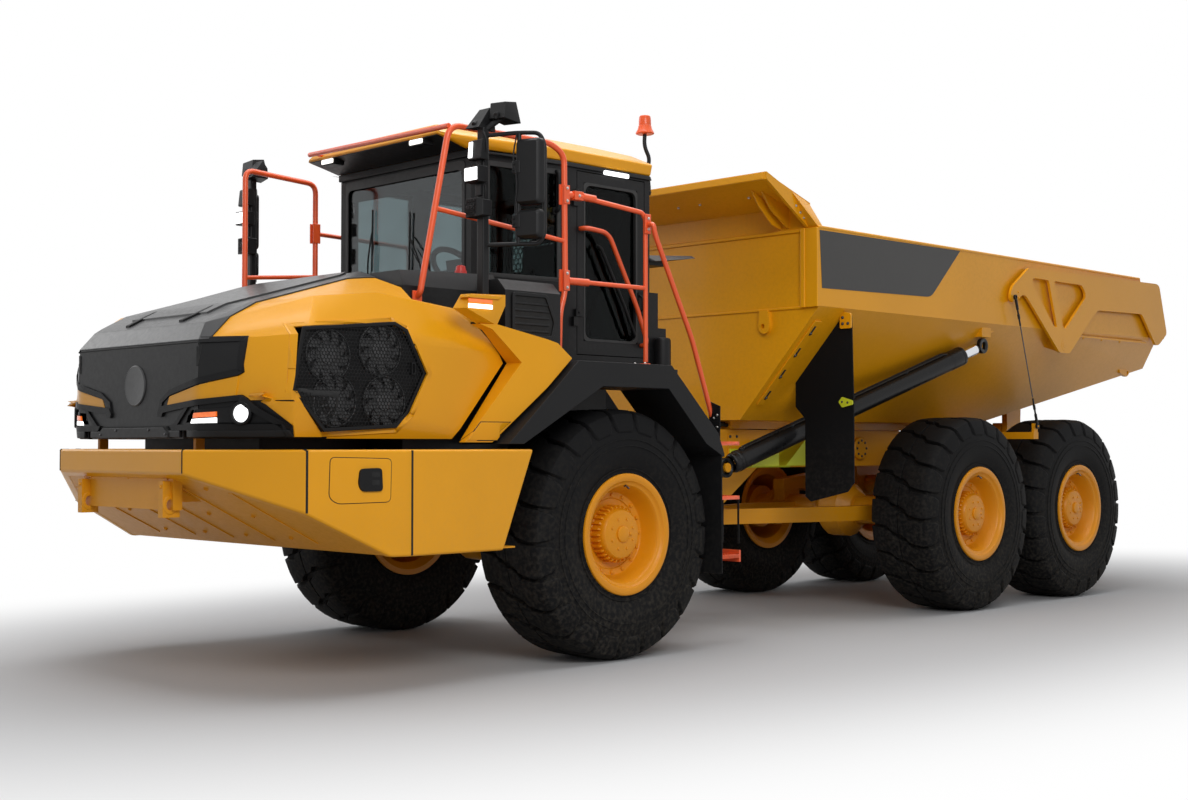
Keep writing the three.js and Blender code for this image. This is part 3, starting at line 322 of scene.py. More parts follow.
paints = {
    "yellow": paintMaterial("yellowEnamel", (0.80, 0.345, 0.004), 0.33, 0.94, 0.05, 0.18, (0.5, 0.22, 0.01),
                            coat=0.1, specular=0.28),
    "frameYellow": paintMaterial("frameYellowEnamel", (0.74, 0.305, 0.003), 0.42, 0.9, 0.08, 0.25,
                                 (0.4, 0.18, 0.01), specular=0.35),
    "rimYellow": paintMaterial("rimYellowEnamel", (0.76, 0.285, 0.002), 0.38, 0.93, 0.03, 0.2, (0.45, 0.2, 0.01),
                               specular=0.35),
    "grey": paintMaterial("hoodGreySatin", (0.026, 0.026, 0.027), 0.38, 0.9, 0.03, 0.2, (0.1, 0.1, 0.1), coat=0.1,
                          specular=0.4),
    "dark": paintMaterial("cabDarkSatin", (0.007, 0.007, 0.0075), 0.42, 0.85, 0.02, 0.2, (0.035, 0.035, 0.035),
                          specular=0.2),
    "plastic": paintMaterial("blackMouldedPlastic", (0.005, 0.005, 0.0055), 0.5, 0.85, 0.02, 0.2,
                             (0.03, 0.03, 0.03), mould=0.5, specular=0.16),
    "fender": paintMaterial("fenderMouldedPlastic", (0.009, 0.009, 0.0095), 0.5, 0.85, 0.03, 0.25,
                            (0.04, 0.04, 0.04), mould=0.5,
                            mouldScale=600.0, specular=0.16),
    "stripe": paintMaterial("greyStripeFilm", (0.042, 0.040, 0.038), 0.42, 0.93, 0.02, 0.1, (0.1, 0.1, 0.1),
                            specular=0.3),
    "orange": paintMaterial("orangeRailEnamel", (0.86, 0.105, 0.022), 0.38, 0.92, 0.1, 0.35, (0.35, 0.08, 0.03),
                            coat=0.15),
    "rubber": paintMaterial("tyreRubber", (0.006, 0.006, 0.0065), 0.68, 0.8, 0.08, 0.25, (0.03, 0.029, 0.027),
                            mould=0.25,
                            mouldScale=520.0, specular=0.1),
    "hose": paintMaterial("hoseRubber", (0.006, 0.006, 0.0065), 0.5, 0.8, 0.05, 0.2, (0.03, 0.03, 0.03), mould=0.4,
                          specular=0.2),
    "steel": paintMaterial("platedSteel", (0.55, 0.54, 0.52), 0.3, 0.85, 0.1, 0.0, metallic=1.0, bump=0.1,
                           grain=800.0),
    "chrome": paintMaterial("hardChromeRod", (0.72, 0.73, 0.75), 0.12, 0.95, 0.02, 0.0, metallic=1.0, bump=0.02),
    "darkSteel": paintMaterial("oiledDarkSteel", (0.09, 0.09, 0.095), 0.38, 0.8, 0.15, 0.2, (0.3, 0.3, 0.3),
                               metallic=0.8),
    "cylinder": paintMaterial("cylinderBlackEnamel", (0.006, 0.006, 0.0065), 0.3, 0.9, 0.03, 0.2,
                              (0.04, 0.04, 0.04), coat=0.06, specular=0.22),
    "chock": paintMaterial("chockYellowPlastic", (0.62, 0.66, 0.02), 0.45, 0.93, 0.15, 0.2, (0.4, 0.42, 0.1),
                           mould=0.5),
    "seal": paintMaterial("windowSealRubber", (0.01, 0.01, 0.01), 0.6, 0.85, 0.1, 0.1, (0.04, 0.04, 0.04)),
    "void": paintMaterial("shadowGap", (0.003, 0.003, 0.003), 0.9, 0.9, 0.0, 0.0),
    "headliner": paintMaterial("headlinerFelt", (0.10, 0.10, 0.10), 0.9, 0.85, 0.0, 0.0, mould=1.0,
                               mouldScale=500.0),
    "paleGrey": paintMaterial("paleGreyPlastic", (0.42, 0.41, 0.40), 0.5, 0.93, 0.05, 0.1, (0.5, 0.5, 0.5),
                              specular=0.3),
    "red": paintMaterial("redCapPlastic", (0.62, 0.03, 0.02), 0.35, 0.9, 0.05, 0.1, (0.3, 0.05, 0.05)),
    "glass": glassMaterial("tintedCabGlass", (0.42, 0.50, 0.53)),
    "sideGlass": glassMaterial("darkSideGlass", (0.20, 0.26, 0.26), 0.02, 1.16),
    "mirror": paintMaterial("silveredMirror", (0.82, 0.84, 0.86), 0.03, 0.97, 0.0, 0.0, metallic=1.0, bump=0.0),
    "white": lampMaterial("whiteLampGlow", (0.9, 0.9, 0.9), (1, 1, 1), 2.2),
    "warm": lampMaterial("warmRoofGlow", (0.9, 0.9, 0.85), (1, 0.97, 0.9), 1.4),
    "amber": lampMaterial("amberLampGlow", (0.9, 0.16, 0.02), (1, 0.2, 0.02), 0.5),
    # the red reflectors are no lamps: their faint glow is a painted reflection
    "redLensPaintedGlow": lampMaterial("redReflector", (0.6, 0.02, 0.02), (0.8, 0.02, 0.02), 0.08),
    "beacon": paintMaterial("beaconCap", (0.80, 0.11, 0.025), 0.3, 0.95, 0.0, 0.1, (0.4, 0.08, 0.03), coat=0.2,
                            specular=0.3),
    "fabric": fabricMaterial("seatCloth", (0.035, 0.036, 0.04)),
}
print("materials made")


# Mesh helpers: every shape is built in millimetres and turned into metres by makePiece.
axisPlace = {"x": lambda u, v, w: Vector((w, u, v)), "y": lambda u, v, w: Vector((u, w, v)),
             "z": lambda u, v, w: Vector((u, v, w))}


def angles(sides):
    return [2 * math.pi * i / sides for i in range(sides)]


def circle(centre, side, up, radius, sides):
    return [centre + (side * math.cos(turn) + up * math.sin(turn)) * radius for turn in angles(sides)]


def roundHole(u, v, radius, sides):
    return [(u + radius * math.cos(turn), v + radius * math.sin(turn)) for turn in angles(sides)]


class Shape:
    def __init__(self):
        self.points = []
        self.faces = []

    def add(self, points, faces):
        first = len(self.points)
        self.points += [Vector(point) for point in points]
        self.faces += [tuple(first + i for i in face) for face in faces]
        return self

    def addMesh(self, mesh):
        mesh.verts.index_update()
        self.add([v.co for v in mesh.verts], [[v.index for v in face.verts] for face in mesh.faces])
        mesh.free()
        return self

    def mirrored(self):
        count = len(self.points)
        self.points += [Vector((-p.x, p.y, p.z)) for p in self.points]
        self.faces += [tuple(count + i for i in reversed(face)) for face in self.faces]
        return self

    def onSide(self, side, centre=(0, 0, 0)):
        copy = Shape()
        copy.points = [Vector((side * p.x, p.y, p.z)) + Vector(centre) for p in self.points]
        copy.faces = list(self.faces)
        return copy

    def block(self, x, y, z):
        points = [(a, b, c) for a in sorted(x) for b in y for c in z]
        return self.add(points, [(0, 1, 3, 2), (4, 6, 7, 5), (0, 4, 5, 1), (2, 3, 7, 6), (0, 2, 6, 4),
                                 (1, 5, 7, 3)])

    def loft(self, rings, closed=False):
        size = len(rings[0])
        faces = []
        for k in range(len(rings) - (0 if closed else 1)):
            a, b = k * size, ((k + 1) % len(rings)) * size
            faces += [(a + i, a + (i + 1) % size, b + (i + 1) % size, b + i) for i in range(size)]
        if not closed:
            last = (len(rings) - 1) * size
            faces += [tuple(range(size - 1, -1, -1)), tuple(range(last, last + size))]
        return self.add([point for ring in rings for point in ring], faces)

    def prism(self, axis, outline, start, end):
        return self.loft([[axisPlace[axis](u, v, w) for u, v in outline] for w in (start, end)])

    def ringPrism(self, axis, outer, inner, start, end):
        rows = ((outer, start), (outer, end), (inner, end), (inner, start))
        return self.loft([[axisPlace[axis](u, v, w) for u, v in outline] for outline, w in rows], closed=True)

    def turn(self, centre, direction, profile, sides=24, closed=False):
        axis = Vector(direction).normalized()
        side = axis.orthogonal().normalized()
        up = axis.cross(side)
        return self.loft([circle(Vector(centre) + axis * reach, side, up, max(radius, 0.4), sides)
                          for radius, reach in profile], closed)

    def bolt(self, centre, direction, size=12, sides=6):
        self.turn(centre, direction, [(size * 1.25, -3), (size * 1.25, 2.5)], 14)
        return self.turn(centre, direction, [(size, 2), (size, size * 0.75), (size * 0.8, size * 0.95)], sides)

    def tube(self, points, radius, sides=12, bend=40, steps=5):
        route = roundRoute([Vector(p) for p in points], bend, steps)
        tangents = [(route[min(i + 1, len(route) - 1)] - route[max(i - 1, 0)]).normalized()
                    for i in range(len(route))]
        side = tangents[0].orthogonal().normalized()
        rings = []
        for point, tangent in zip(route, tangents):
            side = (side - tangent * side.dot(tangent)).normalized()
            rings.append(circle(point, side, tangent.cross(side), radius, sides))
        return self.loft(rings)

    def hull(self, points):
        mesh = bmesh.new()
        for point in points:
            mesh.verts.new(point)
        bmesh.ops.convex_hull(mesh, input=mesh.verts)
        loose = [v for v in mesh.verts if not v.link_faces]
        bmesh.ops.delete(mesh, geom=loose, context="VERTS")
        bmesh.ops.dissolve_limit(mesh, angle_limit=0.02, verts=mesh.verts, edges=mesh.edges)
        return self.addMesh(mesh)

    # two skins with the same faces, joined round their open edges
    def thicken(self, mesh, upper, lower):
        mesh.verts.index_update()
        count = len(upper)
        faces = [[v.index for v in f.verts] for f in mesh.faces]
        faces += [[v.index + count for v in reversed(f.verts)] for f in mesh.faces]
        for edge in mesh.edges:
            if edge.is_boundary:
                a, b = (v.index for v in edge.verts)
                faces.append([a, b, b + count, a + count])
        mesh.free()
        return self.add(upper + lower, faces)

    def plateWithHoles(self, axis, outline, holes, start, end):
        loops = [outline, *holes]
        flat = [point for loop in loops for point in loop]
        count = len(flat)
        caps = tessellate_polygon([[Vector((u, v, 0)) for u, v in loop] for loop in loops])
        faces = [tuple(tri) for tri in caps] + [tuple(count + i for i in reversed(tri)) for tri in caps]
        first = 0
        for loop in loops:
            size = len(loop)
            for i in range(size):
                a, b = first + i, first + (i + 1) % size
                faces.append((a, b, b + count, a + count))
            first += size
        return self.add([axisPlace[axis](u, v, w) for w in (start, end) for u, v in flat], faces)


def cornerCurve(before, corner, after, bend, share, steps):
    back, on = before - corner, after - corner
    reach = min(bend, back.length / share, on.length / share)
    first, last = corner + back.normalized() * reach, corner + on.normalized() * reach
    return [first * (1 - t) ** 2 + corner * (2 * t * (1 - t)) + last * t ** 2
            for t in (k / steps for k in range(steps + 1))]


def roundRoute(points, bend, steps):
    route = [points[0]]
    for before, corner, after in zip(points, points[1:], points[2:]):
        route += cornerCurve(before, corner, after, bend, 2.2, steps)
    return route + [points[-1]]


def roundedOutline(outline, radius, steps=4):
    closed = [Vector((u, v, 0)) for u, v in outline]
    rounded = []
    for i, corner in enumerate(closed):
        rounded += cornerCurve(closed[i - 1], corner, closed[(i + 1) % len(closed)], radius, 2.1, steps)
    return [(point.x, point.y) for point in rounded]


def roundedBox(low, high, radius, steps=4):
    return roundedOutline([low, (high[0], low[1]), high, (low[0], high[1])], radius, steps)


def grown(outline, amount):
    area = sum(a[0] * b[1] - b[0] * a[1] for a, b in zip(outline, outline[1:] + outline[:1]))
    sign = 1 if area > 0 else -1
    result = []
    for i, corner in enumerate(outline):
        corner = Vector(corner).to_2d()
        back = (corner - Vector(outline[i - 1]).to_2d()).normalized()
        on = (Vector(outline[(i + 1) % len(outline)]).to_2d() - corner).normalized()
        normal = Vector((back.y + on.y, -back.x - on.x)) * sign
        result.append(tuple(corner + normal * amount * (2 / max(normal.length_squared, 0.4))))
    return result


def truckTree(*names):
    points, faces = [], []
    for name in names:
        mesh = nodes[name].data
        first = len(points)
        points += [toTruck(v.co) for v in mesh.vertices]
        faces += [tuple(first + i for i in polygon.vertices) for polygon in mesh.polygons]
    return BVHTree.FromPolygons(points, faces)


# A thin cover laid on the node's surface: the outline is seen along the axis, and cast from the named side.
def cover(shape, tree, axis, side, outline, lift, depth=6, step=45):
    place = axisPlace[axis]
    ray = place(0, 0, -side)
    mesh = bmesh.new()
    mesh.faces.new([mesh.verts.new((u, v, 0)) for u, v in outline])
    for k in (0, 1):
        low = min(p[k] for p in outline)
        high = max(p[k] for p in outline)
        count = int((high - low) / step)
        for i in range(1, count + 1):
            cut = Vector((0, 0, 0))
            cut[k] = low + (high - low) * i / (count + 1)
            bmesh.ops.bisect_plane(mesh, geom=mesh.verts[:] + mesh.edges[:] + mesh.faces[:], plane_co=cut,
                                   plane_no=Vector((1 - k, k, 0)))
    skin = []
    known = None
    for vert in mesh.verts:
        hit = tree.ray_cast(place(vert.co.x, vert.co.y, side * 9000), ray)[0]
        if hit is None:                                       # past the edge: the nearest depth is kept
            flat = place(vert.co.x, vert.co.y, 0)
            near = tree.find_nearest(flat + (known - flat).project(ray) if known else flat)[0]
            hit = flat + (near - flat).project(ray)
        known = hit
        skin.append(hit)
    return shape.thicken(mesh, [hit - ray * lift for hit in skin], [hit + ray * depth for hit in skin])


def addModifier(piece, name, kind, **settings):
    modifier = piece.modifiers.new(name, kind)
    for key, value in settings.items():
        setattr(modifier, key, value)


def softenEdges(piece, width, segments, angle, weight):
    if width:
        addModifier(piece, "softEdges", "BEVEL", width=width / 1000, segments=segments, limit_method="ANGLE",
                    angle_limit=math.radians(angle), miter_outer="MITER_ARC", use_clamp_overlap=True)
    addModifier(piece, "evenNormals", "WEIGHTED_NORMAL", weight=weight, keep_sharp=False)


def makePiece(name, body, shape, finish, bevel=2.5, segments=2, smooth=38, replaced=()):
    mesh = bpy.data.meshes.new(name)
    mesh.from_pydata([at(*p) for p in shape.points], [], shape.faces)
    work = bmesh.new()
    work.from_mesh(mesh)
    bmesh.ops.remove_doubles(work, verts=work.verts, dist=0.00002)
    bmesh.ops.recalc_face_normals(work, faces=work.faces)
    work.to_mesh(mesh)
    work.free()
    mesh.polygons.foreach_set("use_smooth", [True] * len(mesh.polygons))
    mesh.materials.append(paints[finish])
    piece = linkObject(name, mesh)
    softenEdges(piece, bevel, segments, smooth, 80)
    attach(piece, body)
    if replaced:
        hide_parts(*replaced)
    return piece


# Frame nodes that stay in view: finish and edge width; a star stands for left and right.
nodeLooks = {
    "frameYellow": {"front_frame": 4, "front_axle": 5, "hitch_yoke": 5, "rear_frame": 5, "mid_axle": 5,
                    "rear_axle": 5, "bogie_beams": 6},
    "yellow": {"front_skirt": 16, "*_side_panel": 6, "cab_roof": 16, "*_hood_panel": 7, "dump_body": 6,
               "tailgate": 4},
    "dark": {"battery_pack": 8, "cowl_deck": 10, "cab_shell": 5, "cab_door": 4},
    "plastic": {"steering_column": 6, "cab_guard": 4, "*_mirror_mast": 6, "fan_module": 3, "*_headlamp_pod": 6},
    "grey": {"hood_nose": 7}, "fender": {"*_fender": 8}, "glass": {"windscreen": 0}, "sideGlass": {"door_glass": 0},
    "orange": {"guard_rails": 0, "right_guard_rails": 0, "ladder": 2}, "chock": {"chock_holder": 8},
    "rubber": {"*_mud_flap": 2}, "steel": {"*_gate_wire": 0},
    "cylinder": {"*_steer_barrel": 2, "*_hoist_barrel": 2}, "chrome": {"*_steer_rod": 0, "*_hoist_rod": 0},
}
for finish, widths in nodeLooks.items():
    for pattern, width in widths.items():
        for name in dict.fromkeys(pattern.replace("*", side) for side in ("left", "right")):
            node = nodes[name]
            node.data.materials.clear()
            node.data.materials.append(paints[finish])
            addModifier(node, "oneSkin", "WELD", merge_threshold=0.00005)
            addModifier(node, "flatFaces", "DECIMATE", decimate_type="DISSOLVE", angle_limit=math.radians(0.6))
            softenEdges(node, width, 3, 24, 90)
print("frame nodes finished")


# Wheels.
wheelLook = {"radius": 794, "lugs": 22, "lugDepth": 34, "sides": 96, "nuts": 16, "hubTeeth": 30}


def tyreShape():
    look = wheelLook
    base = look["radius"] - look["lugDepth"]
    half = [(327, 238), (352, 262), (392, 270), (400, 262), (430, 268), (470, 284), (520, 292), (580, 294),
            (640, 286), (690, 272), (720, 262), (base - 8, 236), (base, 190), (base + 1, 60)]
    profile = [(r, -x) for r, x in half] + half[::-1]
    shape = Shape().loft([[(x, r * math.cos(turn), r * math.sin(turn)) for r, x in profile]
                          for turn in angles(look["sides"])], closed=True)
    for side in (-1, 1):
        for k in range(look["lugs"]):
            addLug(shape, side, 2 * math.pi * (k + (0.5 if side > 0 else 0)) / look["lugs"])
    for radius, x in ((418, 272), (560, 295.5), (602, 294)):      # raised rings on the side walls
        for side in (-1, 1):
            shape.loft([[(side * (x + b), (radius + a) * math.cos(t), (radius + a) * math.sin(t))
                         for t in angles(72)] for a, b in ((-5, -1), (-3, 2), (3, 2), (5, -1))], closed=True)
    return shape


def addLug(shape, side, centre):
    top = wheelLook["radius"]
    # across, half width at the top (rad), sweep (rad), top radius, foot radius
    stations = [(6, 0.105, -0.075, top, top - 36), (70, 0.112, -0.035, top, top - 36),
                (96, 0.112, 0.012, top, top - 36), (160, 0.118, 0.03, top - 1, top - 38),
                (222, 0.122, 0.042, top - 6, top - 44), (262, 0.120, 0.045, top - 30, top - 70),
                (286, 0.108, 0.045, top - 92, top - 120), (291, 0.085, 0.045, top - 140, top - 150)]
    rings = []
    for x, half, sweep, outer, inner in stations:
        middle = centre + side * sweep
        ring = []
        for radius, angle, reach in ((inner, -half * 1.12, -6), (outer, -half, 0), (outer, 0, 0), (outer, half, 0),
                                     (inner, half * 1.12, -6)):
            turn = middle + angle
            ring.append((side * (x + reach), radius * math.cos(turn), radius * math.sin(turn)))
        rings.append(ring)
    shape.loft(rings)


def rimShape():
    shape = Shape()
    profile = [(0, -200), (190, -203), (197, 60), (230, 78), (280, 66), (296, -245), (345, -284), (384, -284),
               (384, -262), (372, -250), (326, -241), (325, 0), (326, 241), (350, 246), (372, 256), (384, 262),
               (386, 272), (383, 282), (374, 286), (352, 286), (338, 280), (330, 268), (322, 262), (312, 258),
               (300, 240), (286, 190), (270, 146), (262, 138), (228, 132), (222, 124), (176, 122), (170, 128),
               (166, 196), (160, 214), (150, 226), (118, 234), (60, 236), (0, 236)]
    shape.turn((0, 0, 0), (1, 0, 0), profile, wheelLook["sides"])
    for turn in angles(wheelLook["nuts"]):
        shape.bolt((134, 246 * math.cos(turn), 246 * math.sin(turn)), (1, 0, 0), 13)
    for turn in angles(wheelLook["hubTeeth"]):                # ribs round the planetary hub
        radial = Vector((0, math.cos(turn), math.sin(turn)))
        across = Vector((0, -math.sin(turn), math.cos(turn)))
        rings = []
        for x, half, reach in ((126, 9, 184), (190, 8, 182), (200, 6, 174)):
            centre = Vector((x, 0, 0))
            rings.append([centre + radial * 150 - across * half, centre + radial * reach - across * half * 0.8,
                          centre + radial * reach + across * half * 0.8, centre + radial * 150 + across * half])
        shape.loft(rings)
    for y, z in roundHole(0, 0, 100, 16)[1::2]:
        shape.bolt((233, y, z), (1, 0, 0), 9)
    shape.turn((0, 0, 0), (1, 0, 0), [(52, 230), (52, 246), (40, 252), (0, 252)], 24)
    shape.turn((238, 62, 0), (1, 0, 0), [(12, 0), (12, 10), (8, 14)], 6)
    return shape


def placeWheel(label, side, tyre, rim):
    low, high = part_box(label + "_tyre")
    centre = toTruck((Vector(low) + Vector(high)) / 2)
    for part, source, finish, bevel, segments in (("tyre", tyre, "rubber", 3, 1),
                                                  ("rim", rim, "rimYellow", 1.6, 2)):
        makePiece(f"{label}_{part}_detail", label + "_wheel", source.onSide(side, centre), finish, bevel, segments,
                  30, (f"{label}_{part}",))
    valve = Shape().tube([(side * 250, 0, 300), (side * 262, 0, 312), (side * 274, 0, 300)], 5, 8, 8)
    valve.turn((side * 274, 0, 300), (side, 0, -0.6), [(7, 0), (7, 16), (5, 20)], 8)
    makePiece(label + "_valve", label + "_wheel", valve.onSide(1, centre), "darkSteel", 0.5)


tyre, rim = tyreShape(), rimShape()
for row in ("front", "mid", "rear"):
    placeWheel("left_" + row, 1, tyre, rim)
    placeWheel("right_" + row, -1, tyre, rim)
print("wheels made")


# Hood.
hoodLook = {"lidSeam": 1928, "lidLift": 9, "rimLift": 15, "fanFace": 1190, "guardFace": 1202, "fanRadius": 146,
            "fans": ((-2150, 1848), (-1800, 1890), (-2108, 1602), (-1770, 1602)), "meshPitch": 22, "meshWire": 2.0}
hoodTree = truckTree("hood_nose", "left_hood_panel", "left_headlamp_pod")
podTree = truckTree("left_headlamp_pod")


def hoodCover(shape, outline, lift, depth=6, axis="y", side=-1, step=45):
    return cover(shape, hoodTree, axis, side, outline, lift, depth, step)


# Covers seen from the front: each row is an outline, its lift and, if not 6, its depth.
def hoodPiece(name, finish, bevel, segments, rows, mirrored=True):
    shape = Shape()
    for row in rows:
        hoodCover(shape, *row)
    makePiece(name, "hood", shape.mirrored() if mirrored else shape, finish, bevel, segments)


def lidShape():
    mesh = nodes["hood_nose"].data
    seam = hoodLook["lidSeam"]
    work = bmesh.new()
    for polygon in mesh.polygons:
        corners = [toTruck(mesh.vertices[i].co) for i in polygon.vertices]
        heights = [p.z for p in corners]
        if min(heights) > seam - 1 and polygon.normal.z > 0.05 and max(heights) > seam + 20:
            work.faces.new([work.verts.new(p) for p in corners])
    bmesh.ops.remove_doubles(work, verts=work.verts, dist=0.3)
    work.normal_update()
    upper = [v.co + v.normal * hoodLook["lidLift"] for v in work.verts]
    return Shape().thicken(work, upper, [v.co - v.normal * 3 for v in work.verts])


makePiece("hood_lid", "hood", lidShape(), "grey", 5, 3, 20)

plateau = Shape()
cover(plateau, truckTree("hood_nose"), "z", 1, [(-430, -2440), (430, -2440), (560, -1620), (480, -1520),
                                                (-480, -1520), (-560, -1620)], 21, 2, 60)
makePiece("hood_plateau", "hood", plateau, "grey", 9, 3, 25)

lidDetails = Shape()
for side in (-1, 1):
    cover(lidDetails, truckTree("hood_nose"), "z", 1, [(side * 285, -2535), (side * 330, -2535),
                                                       (side * 345, -2400), (side * 322, -2300),
                                                       (side * 312, -2400)], 23, 1, 60)
makePiece("hood_grip_wells", "hood", lidDetails, "plastic", 2)

lift = hoodLook["rimLift"]
hoodPiece("hood_front_face", "dark", 4, 3, [([(-686, 1463), (686, 1463), (686, 1916), (-686, 1916)], 5)], False)
hoodPiece("hood_cheeks", "dark", 3, 2, [
    ([(690, 1940), (918, 1940), (938, 1760), (922, 1742), (392, 1640), (368, 1586), (352, 1545), (305, 1545),
      (320, 1592), (402, 1668), (690, 1730)], 7)])
# the upper three rims frame the cheek, the other four the lamp cluster
hoodPiece("hood_lamp_surrounds", "plastic", 4, 3, [
    ([(692, 1951), (930, 1951), (925, 1922), (692, 1918)], lift),
    ([(930, 1951), (953, 1752), (926, 1757), (902, 1940)], lift),
    ([(953, 1752), (925, 1736), (560, 1668), (395, 1636), (318, 1598), (302, 1545), (268, 1528), (292, 1612),
      (396, 1668), (560, 1702), (920, 1772)], lift),
    ([(268, 1540), (292, 1575), (945, 1630), (958, 1618), (945, 1600), (600, 1567), (330, 1540), (318, 1518),
      (275, 1518)], lift + 4),
    ([(945, 1630), (968, 1616), (1168, 1462), (1160, 1400), (1128, 1400), (1120, 1452), (932, 1592)], lift + 4),
    ([(398, 1472), (1135, 1472), (1140, 1440), (430, 1440)], lift + 4),
    ([(565, 1568), (600, 1568), (480, 1466), (430, 1466)], lift + 2)])
hoodPiece("hood_lower_apron", "dark", 5, 3, [
    ([(0, 1440), (516, 1440), (516, 1400), (0, 1400)], 20, 2),
    ([(592, 1440), (1150, 1440), (1152, 1400), (592, 1400)], 20, 2)])
hoodPiece("hood_cheek_strips", "yellow", 2.5, 2, [([(388, 1630), (924, 1731), (908, 1626), (360, 1578)], 9)])
hoodPiece("hood_dark_slots", "void", 1, 2, [
    ([(672, 1898), (716, 1903), (692, 1795), (672, 1790)], 9),
    ([(0, 1926), (700, 1926), (700, 1919), (0, 1919)], 7)])
hoodPiece("blank_number_plate", "dark", 4, 3, [
    ([(-402, 1399), (-402, 1424), (-352, 1458), (352, 1458), (402, 1424), (402, 1399)], 27, 2)], False)
hoodPiece("number_plate_gap", "void", 1, 2, [
    ([(-410, 1397), (-410, 1428), (-355, 1465), (355, 1465), (410, 1428), (410, 1397)], 21.5, 2)], False)
screws = Shape()
for x, z in ((-375, 1420), (-190, 1444), (190, 1444), (375, 1420)):
    screws.bolt((x, -2668, z), (0, -1, 0), 6)
makePiece("number_plate_screws", "hood", screws, "darkSteel", 0.6)

# an empty round boss where a badge would sit
boss = Shape()
boss.turn((0, -2644, 1700), (0, -1, 0), [(118, -2), (118, 5), (112, 10), (104, 8), (0, 6)], 56)
makePiece("front_boss_bare", "hood", boss, "grey", 1.5)

lampWhite, lampAmber, bezels = Shape(), Shape(), Shape()
hoodCover(bezels, [(600, 1552), (905, 1566), (905, 1480), (560, 1480)], 5)
hoodCover(lampAmber, [(655, 1534), (800, 1541), (800, 1514), (645, 1507)], 15)
hoodCover(lampWhite, [(638, 1501), (800, 1508), (800, 1480), (625, 1478)], 15)
lampFace = Vector((0.44, -0.9, 0)).normalized()
lampAt = Vector((940, -2526, 1530))
bezels.turn(lampAt, lampFace, [(64, -10), (66, 16), (60, 24), (50, 22), (47, 8)], 40)
lampWhite.turn(lampAt, lampFace, [(48, 2), (48, 10), (38, 17), (20, 21), (0, 22)], 40)
for shape in (lampWhite, lampAmber, bezels):
    shape.mirrored()
makePiece("headlamp_lenses", "hood", lampWhite, "white", 1.5)
makePiece("turn_lamp_lenses", "hood", lampAmber, "amber", 1.5)
makePiece("headlamp_bezels", "hood", bezels, "plastic", 2)


def fanShape(y, z):
    shape = Shape()
    radius, face = hoodLook["fanRadius"], hoodLook["fanFace"]
    centre = Vector((0, y, z))
    for inner, outer, depth in ((radius - 6, radius, 9), (112, 115, 8), (82, 85, 8)):
        rows = ((inner, face - 1), (inner, face + depth), (outer, face + depth), (outer, face - 1))
        shape.loft([[centre + Vector((x, r * math.cos(t), r * math.sin(t))) for t in angles(48)] for r, x in rows],
                   closed=True)
    shape.turn(centre + Vector((face, 0, 0)), (1, 0, 0), [(52, -1), (52, 8), (46, 11), (14, 11), (12, 8), (0, 8)],
               32)
    for turn in angles(9):                                    # blades, thin at their feet and twisted to their tips
        rings = []
        for r, twist in ((48, 0.0), (100, 0.10), (radius - 10, 0.30)):
            ring = []
            for angle, x in ((-0.20, 1), (0.20, 6), (0.20, 8), (-0.20, 3)):
                t = turn + y + angle * (60 / r if r > 60 else 1.2) * 2.2 + twist
                ring.append(centre + Vector((face + x, r * math.cos(t), r * math.sin(t))))
            rings.append(ring)
        shape.loft(rings)
    return shape


# where a ray from the left meets the hood's skin
def hoodSide(y, z):
    skin = hoodTree.ray_cast(Vector((9000, y, z)), Vector((-1, 0, 0)))[0]
    return skin.x if skin else 0


fans = Shape()
for y, z in hoodLook["fans"]:
    one = fanShape(y, z)
    fans.add(one.points, one.faces)
for i, (x, y, z) in enumerate(fans.points):
    skin = hoodSide(y, z)
    if skin > hoodLook["fanFace"] - 2:                        # the fan's rim comes out onto the pod's skin
        fans.points[i] = Vector((skin + 0.5 + (x - hoodLook["fanFace"] + 1) * 0.3, y, z))
makePiece("cooling_fans", "hood", fans.mirrored(), "grey", 0)


def insideOutline(point, outline):
    inside = False
    for (u0, v0), (u1, v1) in zip(outline, outline[1:] + outline[:1]):
        if (v0 > point[1]) != (v1 > point[1]) and point[0] < (u1 - u0) * (point[1] - v0) / (v1 - v0) + u0:
            inside = not inside
    return inside


def honeycomb(shape, outline, pitch, wire, place, depth):
    # one flat hexagonal ring for each cell; place turns (u, v, w) into a point
    low = [min(p[k] for p in outline) for k in (0, 1)]
    high = [max(p[k] for p in outline) for k in (0, 1)]
    radius = pitch / math.sqrt(3)
    rows = int((high[1] - low[1]) / (1.5 * radius)) + 2
    columns = int((high[0] - low[0]) / pitch) + 2
    for row in range(rows):
        for column in range(columns):
            centre = (low[0] + (column + 0.5 * (row % 2)) * pitch, low[1] + row * 1.5 * radius)
            if not insideOutline(centre, outline):
                continue
            wall = ((radius, 0), (radius, depth), (radius - wire, depth), (radius - wire, 0))
            shape.loft([[place(centre[0] + reach * math.sin(t), centre[1] + reach * math.cos(t),
                               w) for t in angles(6)] for reach, w in wall], closed=True)
    return shape


fanOutline = [(-2318, 1992), (-1703, 2052), (-1616, 2014), (-1482, 1770), (-1604, 1546), (-1692, 1460),
              (-2180, 1434), (-2384, 1654)]


# the guard is flat, but stands clear of the pod's skin
def guardPlace(u, v, w):
    return max(hoodLook["guardFace"], hoodSide(u, v) + 5) + w, u, v
